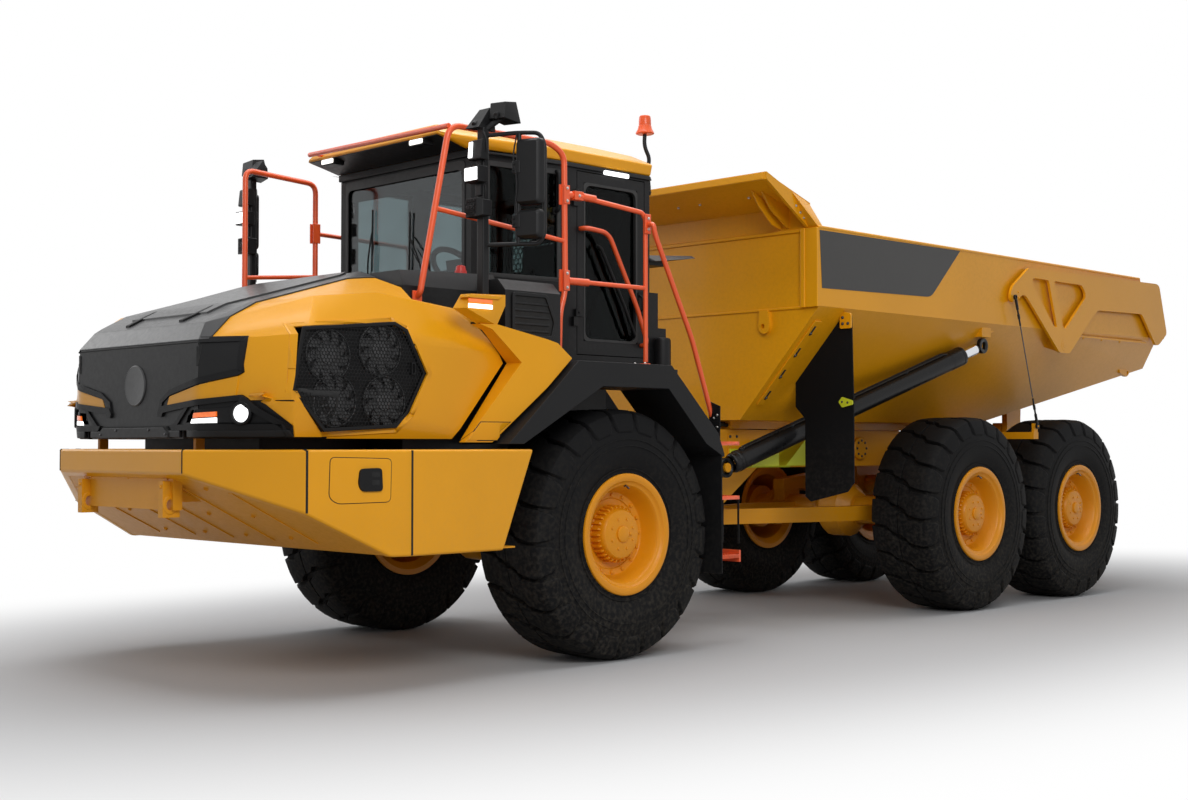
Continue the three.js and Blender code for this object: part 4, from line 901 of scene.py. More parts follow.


# a black sheet of painted shade on the pod's skin, where the fan opening shows no fan behind the guard
fanShadeSheet = Shape()
hoodCover(fanShadeSheet, [(-2376, 1664), (-2180, 1438), (-2094, 1438), (-2094, 1664)], 3, 3, "x", 1, 20)
makePiece("fan_guard_painted_shade", "hood", fanShadeSheet.mirrored(), "void", 0)
podSkins = Shape()
cover(podSkins, podTree, "x", 1, [(-2519, 1634), (-2354, 1462), (-2338, 1403), (-2170, 1403), (-2176, 1424),
                                  (-2398, 1654)], 9, 4, 16)
makePiece("pod_side_skins", "hood", podSkins.mirrored(), "yellow", 1.5)
guard = honeycomb(Shape(), grown(fanOutline, -6), hoodLook["meshPitch"], hoodLook["meshWire"], guardPlace, 2.5)
makePiece("fan_honeycomb_guard", "hood", guard.mirrored(), "plastic", 0)
guardRim = Shape().ringPrism("x", grown(fanOutline, 4), grown(fanOutline, -16), 1196, 1208)
makePiece("fan_guard_rim", "hood", guardRim.mirrored(), "plastic", 2.5)
guardLatch = Shape()
guardLatch.ringPrism("x", roundedBox((-1588, 1760), (-1560, 1830), 8),
                     roundedBox((-1582, 1768), (-1566, 1822), 5), 1200, 1212)
for k in range(9):
    guardLatch.bolt((1207, -1540 - 6 * abs(k - 4), 1660 + 34 * k), (1, 0, 0), 3.2)
makePiece("fan_guard_latch", "hood", guardLatch.mirrored(), "plastic", 1)
reveal = Shape()
lipOuter, lipInner = grown(fanOutline, 30), grown(fanOutline, 3)
for i in range(len(fanOutline)):
    hoodCover(reveal, [lipOuter[i - 1], lipOuter[i], lipInner[i], lipInner[i - 1]], 7, 30, "x", 1, 70)
makePiece("fan_opening_reveal", "hood", reveal.mirrored(), "yellow", 5, 3)
print("hood made")


# Side panels, skirt and belly.
skirtLook = {"slopeTop": 1276, "slopeFall": 0.526, "slopeEnd": 752,
             "hatch": ((-2232, 1292), (-1903, 1284), (-1908, 1052), (-2195, 1046), (-2238, 1078))}
skirtTree = truckTree("front_skirt")
panelTree = truckTree("left_side_panel")


def slopeZ(y, lowest):
    return max(skirtLook["slopeTop"] - (y + 2900) * skirtLook["slopeFall"], lowest)


def bellyZ(y):
    return slopeZ(y, skirtLook["slopeEnd"]) + 4


seams = Shape()
for x, y in ((710, -2756), (1300, -2360), (1470, -1790)):
    seams.block((x - 3, x + 3), (y, y + 12), (slopeZ(y, 750) + 6, 1331))
seams.block((706, 712), (-2752, -2700), (1330, 1336.5)).block((1240, 1302), (-2363, -2357), (1330, 1336.5))
makePiece("skirt_seams", "root", seams.mirrored(), "void", 0.5)

hatchOutline = roundedOutline(list(skirtLook["hatch"]), 26)
hatchGap, hatch = Shape(), Shape()
cover(hatchGap, skirtTree, "x", 1, grown(hatchOutline, 4), 0.8, 3, 80)
cover(hatch, skirtTree, "x", 1, hatchOutline, 3.5, 3, 80)
makePiece("charge_hatch_gap", "root", hatchGap, "void", 0)
makePiece("charge_hatch", "root", hatch, "yellow", 1.5)
latch, latchWells = Shape(), Shape()
cover(latch, skirtTree, "x", 1, roundedOutline([(-2078, 1232), (-1962, 1236), (-1956, 1110), (-2070, 1108),
                                                (-2088, 1150)], 22), 17, 3, 60)
for z in (1142, 1186):
    cover(latchWells, skirtTree, "x", 1, roundedBox((-2020, z), (-1975, z + 28), 8), 18.5, 2, 60)
makePiece("charge_hatch_latch", "root", latch, "plastic", 5, 3)
makePiece("charge_latch_wells", "root", latchWells, "void", 1)

belly = Shape()
slope = [(-650, -2735), (650, -2735), (1252, -2335), (1395, -1905), (-1395, -1905), (-1252, -2335)]
belly.loft([[(x, y, bellyZ(y)) for x, y in slope], [(x, y, bellyZ(y) + 10) for x, y in slope]])
belly.prism("z", [(-1395, -1905), (1395, -1905), (1395, -960), (-1395, -960)], 757, 767)
makePiece("belly_guard", "root", belly, "frameYellow", 2)
ribs = Shape()
for x0, x1, y0, y1 in ((-900, -860, -2560, -2000), (860, 900, -2560, -2000), (-20, 20, -2700, -2000),
                       (-460, -420, -2700, -2000), (420, 460, -2700, -2000)):
    ribs.loft([[(x, y, bellyZ(y) + z) for x, z in ((x0, -8), (x1, -8), (x1, 2), (x0, 2))] for y in (y0, y1)])
for x in (-700, -230, 230, 700):
    for y in (-2600, -2300, -2050):
        ribs.bolt((x, y, bellyZ(y) - 1), (0, -0.46, -0.89), 13)
makePiece("belly_ribs", "root", ribs, "frameYellow", 3)

panelBits, panelGaps = Shape(), Shape()
hatchPatch = [(-1236, 1388), (-1150, 1492), (-960, 1492), (-1044, 1388)]
cover(panelGaps, panelTree, "x", 1, grown(hatchPatch, 5), 1, 3, 80)
cover(panelBits, panelTree, "x", 1, hatchPatch, 4, 3, 80)
makePiece("side_hatch_gaps", "root", panelGaps.mirrored(), "void", 0)
makePiece("side_hatches", "root", panelBits.mirrored(), "yellow", 1.5)

markers = Shape().block((1350, 1357), (-1288, -1105), (2186, 2206)).mirrored()
markersWhite = Shape().block((1350, 1357), (-1288, -1105), (2152, 2178)).mirrored()
brows = Shape().prism("x", [(-1310, 2212), (-1060, 2212), (-1030, 2236), (-1280, 2232)], 1290, 1362).mirrored()
makePiece("marker_lamps_amber", "root", markers, "amber", 3, 3)
makePiece("marker_lamps_white", "root", markersWhite, "white", 3, 3)
makePiece("marker_lamp_brows", "root", brows, "yellow", 4, 3)
towEyes = Shape()
for x in (-470, 470):
    rows = ((30, -31), (50, -31), (56, -25), (56, 25), (50, 31), (30, 31))
    towEyes.loft([[(x + w, -2700 + radius * 0.8 * math.cos(t), 1030 + radius * math.sin(t)) for t in angles(36)]
                  for radius, w in rows], closed=True)
    for z in (1130, 1190, 1250):
        towEyes.bolt((x, -2742 if z < 1150 else -2694, z), (0, -1, 0), 11)
makePiece("tow_eyes", "root", towEyes, "frameYellow", 2)
print("front panels made")


# Cab.
cabLook = {"pane": 6, "pillarFoot": (700, -715), "pillarSlant": 100 / 720}


def slantX(y):
    return cabLook["pillarFoot"][0] + (y - cabLook["pillarFoot"][1]) * cabLook["pillarSlant"]


def slantPane(shape, y0, y1, z0, z1, inset, thick):
    rows = ((y0, inset), (y1, inset), (y1, inset + thick), (y0, inset + thick))
    return shape.prism("z", [(slantX(y) - reach, y) for y, reach in rows], z0, z1)


panes = Shape()
slantPane(panes, -590, -40, 2451, 3169, 14, cabLook["pane"]).mirrored()
panes.block((-776, -770), (131, 759), (2251, 3169))
panes.block((-639, 639), (806, 812), (2481, 3149))
makePiece("side_and_rear_panes", "root", panes, "sideGlass", 0)

seals = Shape()
seals.ringPrism("y", roundedBox((-640, 2440), (640, 3180), 40), roundedBox((-612, 2468), (612, 3118), 46), -721,
                -712)
for side in (-1, 1):
    for y0, y1, z0, z1 in ((-602, -28, 2438, 2462), (-602, -28, 3146, 3180), (-602, -578, 2438, 3180),
                           (-52, -28, 2438, 3180)):
        outline = [(side * (slantX(y) + 4), y) for y in (y0, y1)] + [(side * (slantX(y) - 10), y) for y in (y1, y0)]
        seals.prism("z", outline, z0, z1)
for z0, z1, y0, y1 in ((2240, 2262, 118, 772), (3150, 3180, 118, 772), (2240, 3180, 118, 142),
                       (2240, 3180, 748, 772)):
    seals.block((-804, -796), (y0, y1), (z0, z1))
seals.ringPrism("y", roundedBox((-650, 2470), (650, 3160), 40), roundedBox((-626, 2494), (626, 3136), 36), 796, 829)
makePiece("window_seals", "root", seals, "seal", 3, 3)

header = Shape().block((-628, 628), (-694, -690), (3035, 3168))
header.block((-628, -600), (-694, -690), (2452, 3040)).block((600, 628), (-694, -690), (2452, 3040))
header.block((-628, 628), (-694, -690), (2452, 2480))
makePiece("windscreen_black_border", "root", header, "void", 0)

wipers = Shape()
for x0, tip in ((-360, (-330, 2960)), (240, (80, 2900))):
    wipers.turn((x0, -722, 2462), (0, -1, 0), [(22, -6), (22, 14), (14, 20), (0, 20)], 20)
    wipers.tube([(x0, -734, 2462), (x0 + (tip[0] - x0) * 0.3, -744, 2600), (tip[0], -726, tip[1] - 160)], 6, 8, 60)
    wipers.tube([(tip[0] - 12, -716, tip[1] - 420), (tip[0], -718, tip[1])], 7, 6)
    wipers.tube([(x0 + 26, -734, 2462), (tip[0] + 24, -728, tip[1] - 240)], 4, 6)
makePiece("wipers", "root", wipers, "plastic", 0.8)

roofBits, roofLights, headliner = Shape(), Shape(), Shape()
roofBits.hull([(760, -640, 3238), (812, 0, 3238), (812, 830, 3238), (760, 830, 3238), (770, -640, 3212),
               (818, 0, 3208), (818, 838, 3208), (760, 838, 3208)])
roofBits.hull([(690, -735, 3238), (730, -700, 3238), (690, -735, 3205), (730, -700, 3205), (760, -640, 3208),
               (760, -640, 3238), (690, -650, 3205)])
roofBits.mirrored()
roofBits.block((-700, 700), (-738, -718), (3190, 3238))
makePiece("roof_dark_band", "root", roofBits, "dark", 5, 3)
roofLights.prism("x", roundedBox((360, 3192), (600, 3222), 10), 812, 826)
makePiece("roof_side_lamps", "root", roofLights.mirrored(), "white", 3, 3)
headliner.hull([(-690, -985, 3292), (690, -985, 3292), (-690, -745, 3234), (690, -745, 3234), (-690, -985, 3300),
                (690, -985, 3300)])
makePiece("visor_lining", "root", headliner, "dark", 3)
ceiling = Shape().block((-740, 740), (-640, 770), (3222, 3236))
makePiece("ceiling_lining", "root", ceiling, "headliner", 8, 3)

dome = Shape()                                                # low receiver dome, lamps and vent on the roof
dome.hull([(-560 + 110 * a, -700 + 90 * b, 3392 + 60 * c) for a in (-0.5, 0.5) for b in (-0.5, 0.5)
           for c in (0, 0.7)] + [(-560 + 80 * a, -700 + 60 * b, 3436) for a in (-0.5, 0.5) for b in (-0.5, 0.5)])
dome.block((-600, -440), (-860, -790), (3356, 3372)).block((-610, -430), (-870, -780), (3372, 3400))
makePiece("roof_receiver", "root", dome, "paleGrey", 10, 4)
roofRibs = Shape()
for x in (-330, 0, 330):
    roofRibs.hull([(x - 60, -150, 3424), (x + 60, -150, 3424), (x - 60, 480, 3424), (x + 60, 480, 3424),
                   (x - 40, -120, 3438), (x + 40, -120, 3438), (x - 40, 450, 3438), (x + 40, 450, 3438)])
makePiece("roof_ribs", "root", roofRibs, "yellow", 5, 3)

visorLamps, visorGlass = Shape(), Shape()
for x in (-480, 480):
    visorLamps.prism("y", roundedBox((x - 75, 3252), (x + 75, 3300), 14), -985, -900)
    visorGlass.prism("y", roundedBox((x - 66, 3260), (x + 66, 3292), 10), -991, -984)
makePiece("visor_lamps", "root", visorLamps, "plastic", 4, 3)
makePiece("visor_lamp_glass", "root", visorGlass, "warm", 2)

handle = Shape()
handle.tube([(772, -60, 2900), (815, -60, 2905), (822, -60, 2950), (822, -60, 3120), (815, -60, 3160),
             (772, -60, 3165)], 15, 12, 30)
handle.block((768, 790), (-80, -40), (2880, 2925)).block((768, 790), (-80, -40), (3142, 3187))
makePiece("pillar_grab_handle", "root", handle, "plastic", 3, 3)

# recess and vents in the dark panels beside the cowl
cowlBits, cowlVoid = Shape(), Shape()
for side in (-1, 1):
    outline = roundedOutline([(-810, 2010), (-470, 2010), (-440, 2120), (-520, 2290), (-810, 2290)], 30)
    inner = grown(outline, -22)
    cowlBits.ringPrism("x", outline, inner, side * 1184, side * 1202)
    cowlVoid.prism("x", inner, side * 1184, side * 1192)
    for k in range(5):
        cowlBits.block((side * 1188, side * 1198), (-790, -500), (2050 + 42 * k, 2062 + 42 * k))
makePiece("cowl_side_frames", "root", cowlBits, "dark", 3, 3)
makePiece("cowl_side_recesses", "root", cowlVoid, "void", 0)
cap = Shape()
cap.turn((820, -900, 2412), (0, 0, 1), [(36, -12), (36, 16), (31, 38), (28, 54), (12, 60), (0, 60)], 28)
for x, y in roundHole(820, -900, 35, 12):                     # grip ribs
    cap.block((x - 3, x + 3), (y - 3, y + 3), (2414, 2438))
makePiece("red_filler_cap", "root", cap, "red", 2, 3)
capBase = Shape().turn((820, -900, 2398), (0, 0, 1), [(62, -16), (62, 12), (54, 18), (0, 18)], 28)
makePiece("filler_cap_base", "root", capBase, "plastic", 2)
vents = Shape()
for k in range(11):
    vents.prism("y", [(-560 + 74 * k, 2400), (-520 + 74 * k, 2400), (-512 + 74 * k, 2408), (-552 + 74 * k, 2408)],
                -1010, -800)
makePiece("cowl_vent_bars", "root", vents, "plastic", 2)
cowlSeam = Shape()
for seam in ([(600, -1440), (608, -1440), (618, -730), (610, -730)], [(-608, -1440), (-600, -1440), (-610, -730),
                                                                      (-618, -730)]):
    cover(cowlSeam, truckTree("cowl_deck"), "z", 1, seam, 1.2, 2, 90)
makePiece("cowl_seams", "root", cowlSeam, "void", 0)

# door: seal, dark border, latch and lower trim
doorSeal = Shape()
doorSeal.ringPrism("x", roundedBox((184, 2054), (706, 3122), 34), roundedBox((200, 2072), (690, 3104), 60), 777,
                   803)
makePiece("door_window_seal", "door", doorSeal, "seal", 3, 3)
doorBorder = Shape().ringPrism("x", roundedBox((190, 2062), (700, 3114), 30),
                               roundedBox((222, 2096), (668, 3080), 80, 8), 767, 769)
makePiece("door_black_border", "door", doorBorder, "void", 0)
doorBits = Shape()
doorBits.prism("x", roundedBox((706, 2250), (762, 2420), 14), 800, 812)
doorBits.tube([(810, 722, 2280), (838, 722, 2300), (838, 722, 2375), (810, 722, 2395)], 8, 10, 20)
doorBits.turn((812, 745, 2262), (1, 0, 0), [(9, -6), (9, 5), (6, 8), (0, 8)], 16)
for z in (2232, 3032):
    doorBits.bolt((826, 118, z + 8), (1, 0, 0), 7)
    doorBits.bolt((801, 150, z + 6), (1, 0, 0), 7)
makePiece("door_latch", "door", doorBits, "plastic", 2, 3)
doorRail, doorGrip = Shape(), Shape()
doorRail.tube([(780, 151, 2805), (860, 154, 2805), (862, 360, 2790), (862, 640, 2300), (860, 744, 2060),
               (780, 744, 2040)], 16.5, 14, 70, steps=8)
doorGrip.tube([(806, 300, 2700), (840, 306, 2690), (842, 520, 2330), (842, 640, 2110), (806, 650, 2100)], 12, 12,
              70, steps=6)
makePiece("door_handrail", "door", doorRail, "orange", 0)
makePiece("door_pull_bar", "door", doorGrip, "plastic", 0)
lining = Shape().prism("x", roundedBox((140, 1980), (760, 2058), 16), 748, 756)
makePiece("door_lower_trim", "door", lining, "plastic", 3)
print("cab shell made")


# Cab interior.
seatFloor = toTruck(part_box("operator_seat")[0]).z


def cushion(name, low, high, crown, tilt=0.0, pivot=(0, 0, 0), channels=0):
    # a crowned closed form, its heights from the seat's floor: its sides pull in between the corners
    mesh = bmesh.new()
    bmesh.ops.create_cube(mesh, size=2)
    bmesh.ops.subdivide_edges(mesh, edges=mesh.edges, cuts=15, use_grid_fill=True)
    low, high, pivot = [Vector(place) + Vector((0, 0, seatFloor)) for place in (low, high, pivot)]
    size, middle = (high - low) / 2, (high + low) / 2
    thin = list(size).index(min(size))
    wide = [k for k in range(3) if k != thin]
    turn = Matrix.Rotation(tilt, 4, "X")
    for vert in mesh.verts:
        p = list(vert.co)
        a, b = p[wide[0]], p[wide[1]]
        bulge = (1 - a ** 4) * (1 - b ** 4)
        p[thin] *= 1 + crown * (bulge - 0.35)
        p[wide[0]] *= 1 - 0.045 * (1 - b * b) - 0.05 * abs(vert.co[thin]) ** 3
        p[wide[1]] *= 1 - 0.045 * (1 - a * a) - 0.05 * abs(vert.co[thin]) ** 3
        if channels:
            p[thin] *= 1 - 0.07 * max(0.0, math.cos(channels * math.pi * b)) ** 12
        vert.co = turn @ (Vector([middle[k] + p[k] * size[k] for k in range(3)]) - pivot) + pivot
    piece = makePiece(name, "root", Shape().addMesh(mesh), "fabric", 0)
    addModifier(piece, "roundForm", "SUBSURF", levels=1, render_levels=1)
    return piece


seatBase = Shape()
seatBase.hull([(x, y, seatFloor + z) for x, y, z in ((-150, 130, 2), (150, 130, 2), (-150, 420, 2), (150, 420, 2),
                                                     (-120, 160, 150), (120, 160, 150), (-120, 390, 150),
                                                     (120, 390, 150))])
for k in range(5):                                            # folded bellows over the suspension
    fold, low = 6 * (k % 2), seatFloor + 148 + 20 * k
    seatBase.block((-140 - fold, 140 + fold), (145 - fold, 405 + fold), (low, low + 20))
seatBase.block((-230, 230), (40, 490), (seatFloor + 246, seatFloor + 268))
seatPost = makePiece("seat_base", "root", seatBase, "plastic", 4, 3)
seatPad = cushion("seat_cushion", (-245, 22, 262), (245, 478, 362), 0.28, channels=2)
cushion("seat_back", (-225, 500, 350), (225, 600, 880), 0.3, -0.09, (0, 560, 340), 3)
cushion("seat_headrest", (-120, 540, 878), (120, 612, 985), 0.3, -0.05, (0, 575, 900))
cushion("seat_left_arm", (262, 180, 470), (330, 520, 520), 0.2)
cushion("seat_right_arm", (-330, 180, 470), (-262, 520, 520), 0.2)
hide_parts("operator_seat")
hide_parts("operator_seat")
armBits = Shape()
for side in (-1, 1):
    armBits.block((side * 255, side * 275), (440, 500), (seatFloor + 300, seatFloor + 480))
    armBits.turn((side * 300, 200, seatFloor + 518), (0, -0.25, 1),
                 [(20, -6), (17, 20), (12, 30), (13, 80), (20, 110), (16, 128), (0, 132)], 18)
for x in (70, -70):
    armBits.tube([(x, 552, seatFloor + 850), (x, 570, seatFloor + 920)], 7, 8)
armBits.block((-560, -345), (-60, 480), (seatFloor + 2, seatFloor + 430))
armBits.block((-540, -365), (-40, 200), (seatFloor + 428, seatFloor + 455))
makePiece("seat_arms_and_console", "root", armBits, "plastic", 8, 3)

wheelCentre = Vector((0, -247, 2553.6))
wheelRing = Shape()
normal = Vector((0, 1, 1)).normalized()
rings = []
for turn in angles(56):
    out = Vector((math.cos(turn), 0, 0)) + Vector((0, 1, -1)).normalized() * math.sin(turn)
    rings.append(circle(wheelCentre + out * 193, out, normal, 20, 12))
wheelRing.loft(rings, closed=True)
makePiece("steering_wheel_rim", "root", wheelRing, "plastic", 0)
screens, screenGlow = Shape(), Shape()
for x, y, z in ((330, -470, 2500), (-420, -380, 2480)):
    screens.hull([(x + a, y + b, z + c) for a in (-120, 120) for b, c in ((-20, -80), (12, -88), (-50, 84),
                                                                          (-18, 78))])
    screenGlow.hull([(x + a, y + b, z + c) for a in (-104, 104) for b, c in ((9, -72), (13, -74), (-15, 62),
                                                                             (-11, 60))])
makePiece("dash_screens", "root", screens, "plastic", 5, 3)
makePiece("dash_screen_glass", "root", screenGlow, "dark", 1)
floorMat = Shape()
for k in range(14):
    floorMat.block((-680, 680), (-620 + 95 * k, -560 + 95 * k), (1941, 1947))
makePiece("floor_mat_ribs", "root", floorMat, "hose", 2)
print("cab interior made")


# Rails, ladder and mirrors.
railLook = {"tube": 19, "thin": 16, "cross": 15}
rails = Shape()
rails.tube([(980, -1370, 2235), (1010, -1368, 2262), (1100, -1225, 3262), (1112, -420, 3262), (1118, -300, 3200),
            (1118, -290, 2330), (1118, -335, 2200), (1118, -345, 1890)], railLook["tube"], 16, 90, steps=8)
rails.tube([(1056, -1298, 2760), (1118, -292, 2650)], railLook["cross"], 14)
rails.tube([(1118, -300, 2950), (1140, -200, 2945), (1240, 290, 2880), (1250, 312, 2840), (1250, 312, 1900)],
           railLook["thin"], 16, 60, steps=8)
rails.tube([(1120, -290, 2400), (1248, 305, 2385)], railLook["cross"], 14)
rails.tube([(1098, -1226, 3255), (-620, -1035, 3332)], railLook["thin"], 16)
rails.tube([(-540, -1044, 3328), (-540, -1010, 3318), (-540, -975, 3330)], 8, 8, 20)
rails.block((1085, 1150), (-380, -312), (1876, 1892))
rails.block((976, 987), (-1405, -1335), (2200, 2270))
rails.block((1150, 1270), (285, 340), (1876, 1892))
# thick sleeves, a clamp block and plates on the swing gate
rails.tube([(1119, -282, 2948), (1128, -245, 2946)], 24, 16)
rails.block((1108, 1156), (-240, -160), (2918, 2974))
rails.tube([(1142, -160, 2945), (1166, -70, 2936)], 24, 16)
rails.tube([(1124, -270, 2399), (1156, -120, 2396)], 24, 16)
rails.block((1100, 1112), (-330, -262), (2880, 3010))
rails.block((1100, 1112), (-330, -262), (2330, 2470))
rails.block((1266, 1276), (285, 340), (2740, 2870))
rails.block((1131, 1142), (-318, -270), (2885, 3005)).block((1131, 1142), (-318, -270), (2335, 2465))
makePiece("left_rails_detail", "root", rails, "orange", 3, 3, 40, ("guard_rails",))

rightRails = Shape()
rightRails.tube([(-980, -1262, 2235), (-1010, -1262, 2250), (-1062, -1260, 2320), (-1062, -1260, 3258),
                 (-1062, -680, 3224), (-1062, -680, 2384)], railLook["tube"], 16, 70, steps=8)
rightRails.tube([(-1062, -1258, 2512), (-1062, -682, 2560)], railLook["cross"], 14)
rightRails.tube([(-1062, -680, 2870), (-1100, -500, 2872), (-1240, 290, 2872), (-1250, 312, 2832),
                 (-1250, 312, 1900)], railLook["thin"], 16, 60, steps=8)
rightRails.tube([(-1062, -680, 2440), (-1248, 305, 2385)], railLook["cross"], 14)
rightRails.block((-987, -976), (-1297, -1227), (2200, 2270))
rightRails.block((-1094, -1030), (-712, -648), (2371, 2384))
rightRails.block((-1270, -1150), (285, 340), (1876, 1892))
rightRails.block((-1050, -1040), (-712, -650), (2800, 2940)).block((-1086, -1076), (-712, -650), (2800, 2940))
makePiece("right_rails_detail", "root", rightRails, "orange", 3, 3, 40, ("right_guard_rails",))

railBolts = Shape()
for z in (2905, 2985, 2355, 2445):
    railBolts.bolt((1143, -294, z), (1, 0, 0), 8)
for x, y, z in ((1157, -200, 2946), (1278, 312, 2770), (1278, 312, 2840), (1098, -360, 1893), (1138, -330, 1893),
                (1165, 300, 1893), (1255, 300, 1893)):
    railBolts.bolt((x, y, z), (0, 0, 1) if z < 1900 else (1, 0, 0), 8)
for z in (2820, 2920):
    railBolts.bolt((-1087, -681, z), (-1, 0, 0), 8)
makePiece("rail_bolts", "root", railBolts, "steel", 0.8)

ladder = Shape()
ladder.tube([(1320, 895, 1385), (1320, 935, 1392), (1320, 909, 1500), (1320, 692, 2060), (1320, 332, 2727),
             (1318, 314, 2800), (1268, 314, 2802)], 17, 16, 80, steps=8)
hangers = Shape().ringPrism("y", roundedBox((1010, 560), (1345, 1400), 30),
                            roundedBox((1060, 660), (1300, 930), 24), 882.4, 905)
hangers.block((1187, 1203), (1144, 1150), (686, 988)).block((1327, 1343), (1144, 1150), (686, 988))
for z in (600, 1000, 1370):
    ladder.block((1185, 1345), (903, 922), (z - 13, z + 13)).block((1185, 1345), (1132, 1150), (z - 13, z + 13))
    ladder.block((1185, 1203), (903, 1150), (z - 13, z + 13)).block((1327, 1345), (903, 1150), (z - 13, z + 13))
    for k in range(7):                                        # serrated treads
        y = 936 + 29 * k
        teeth = [(1200 + 13 * i, z + (12 if i % 2 else 4)) for i in range(11)]
        ladder.prism("y", teeth + [(1330, z - 12), (1200, z - 12)], y, y + 6)
ladder.block((1185, 1345), (1142, 1160), (560, 640))
makePiece("ladder_detail", "root", ladder, "orange", 2, 2, 40, ("ladder",))
makePiece("ladder_hangers", "root", hangers, "hose", 2)


def mirrorShapes(side):
    x, y = 1250, -1090
    body, glass, lens, small = Shape(), Shape(), Shape(), Shape()
    body.prism("z", roundedBox((x - 30, y - 24), (x + 30, y + 24), 10), 2078, 3236)
    body.block((x - 40, x + 40), (y - 62, y + 52), (2070, 2084))
    body.tube([(x, y, 3190), (x + 170, y + 135, 3205), (x + 270, y + 205, 3200), (x + 300, y + 220, 3130),
               (x + 300, y + 220, 2600), (x + 270, y + 205, 2545), (x, y, 2540)], 13, 14, 60, steps=8)
    body.tube([(x + 170, y + 135, 3200), (x + 170, y + 128, 2540)], 13, 14)
    for z in (2960, 2640):
        body.prism("z", roundedOutline([(x + 145, y + 96), (x + 200, y + 110), (x + 190, y + 158),
                                        (x + 136, y + 144)], 10), z, z + 74)
    plan = [(x + 155, y + 105), (x + 325, y + 150), (x + 320, y + 205), (x + 150, y + 160)]
    front, across, back = [Vector((*plan[i], 0)) for i in (0, 1, 3)]
    across, back = across - front, back - front
    for z0, z1 in ((2770, 3165), (2570, 2745)):
        outline = roundedBox((0, z0), (across.length, z1), 34, 5)
        for shape, rows in ((body, ((0.0, 20), (0.35, 2), (0.9, 0), (1.0, 5))), (glass, ((0.98, 12), (1.04, 12)))):
            shape.loft([[front + across.normalized() * u + back * reach + Vector((0, 0, v))
                         for u, v in grown(outline, -inset)] for reach, inset in rows])
    # lamp block, strip lamp, horn box and their brackets
    body.prism("x", roundedBox((y - 92, 2905), (y - 12, 3000), 12), x - 62, x + 62)
    lens.prism("x", roundedBox((y - 100, 2915), (y - 84, 2990), 6), x - 54, x + 54)
    body.prism("x", roundedOutline([(y - 74, 3040), (y - 10, 3040), (y - 10, 3160), (y - 60, 3160)], 12), x - 52,
               x + 60)
    lens.prism("x", roundedOutline([(y - 82, 3052), (y - 70, 3052), (y - 64, 3148), (y - 74, 3148)], 5), x - 44,
               x - 14)
    body.hull([(x - 60, y - 84, 2700), (x + 40, y - 84, 2700), (x + 70, y - 60, 2710), (x - 60, y + 10, 2700),
               (x + 70, y + 10, 2710), (x - 60, y - 84, 2812), (x + 40, y - 84, 2812), (x + 70, y - 60, 2800),
               (x - 60, y + 10, 2812), (x + 70, y + 10, 2800)])
    honeycomb(small, roundedBox((x - 52, 2712), (x + 32, 2802), 16), 14, 2.2, lambda u, v, w: (u, y - 85 - w, v), 3)
    body.block((x - 24, x + 24), (y - 40, y - 8), (2830, 2900))
    body.block((x - 20, x + 20), (y - 36, y - 10), (3000, 3044))
    body.tube([(x, y, 3215), (x + 110, y + 90, 3320)], 18, 12)
    body.hull([(x - 95, y - 60, 3236), (x + 25, y - 60, 3232), (x - 95, y + 70, 3310), (x + 25, y + 70, 3310),
               (x - 80, y + 40, 3365), (x + 15, y + 40, 3365), (x - 80, y + 85, 3240), (x + 15, y + 85, 3220)])
    body.hull([(x + 30, y + 20, 3290), (x + 165, y + 20, 3280), (x + 30, y + 30, 3385), (x + 165, y + 30, 3375),
               (x + 20, y + 150, 3270), (x + 170, y + 150, 3260), (x + 45, y + 130, 3400),
               (x + 150, y + 130, 3390)])
    small.turn((x - 35, y - 30, 3262), (0, -0.8, -0.6), [(20, -10), (20, 12), (16, 16), (0, 13)], 20)
    small.turn((x + 98, y + 22, 3300), (0, -0.95, -0.3), [(22, -10), (22, 8), (17, 12), (0, 9)], 20)
    # looped leads between the lamps
    small.tube([(x + 10, y - 20, 3225), (x + 60, y - 30, 3180), (x + 66, y - 26, 3090), (x + 30, y - 14, 3030)], 5,
               8, 60)
    small.tube([(x + 165, y + 120, 3195), (x + 150, y + 100, 3060), (x + 186, y + 108, 2900),
                (x + 160, y + 110, 2740), (x + 172, y + 112, 2560)], 5, 8, 60)
    small.tube([(x + 20, y - 10, 2905), (x + 48, y - 20, 2860), (x + 20, y - 12, 2812)], 5, 8, 40)
    for z in (2980, 3012, 2660, 2692):
        small.bolt((x + 162, y + 95, z), (0.2, -1, 0), 5)
    return [shape.onSide(side) for shape in (body, glass, lens, small)]


for label, side in (("left", 1), ("right", -1)):
    body, glass, lens, small = mirrorShapes(side)
    makePiece(label + "_mast_detail", "root", body, "dark", 5, 3, 36, (label + "_mirror_mast",))
    makePiece(label + "_mirror_glass", "root", glass, "mirror", 1)
    makePiece(label + "_mast_lamps", "root", lens, "white", 3, 3)
    makePiece(label + "_mast_leads", "root", small, "hose", 0.8)
print("rails and mirrors made")


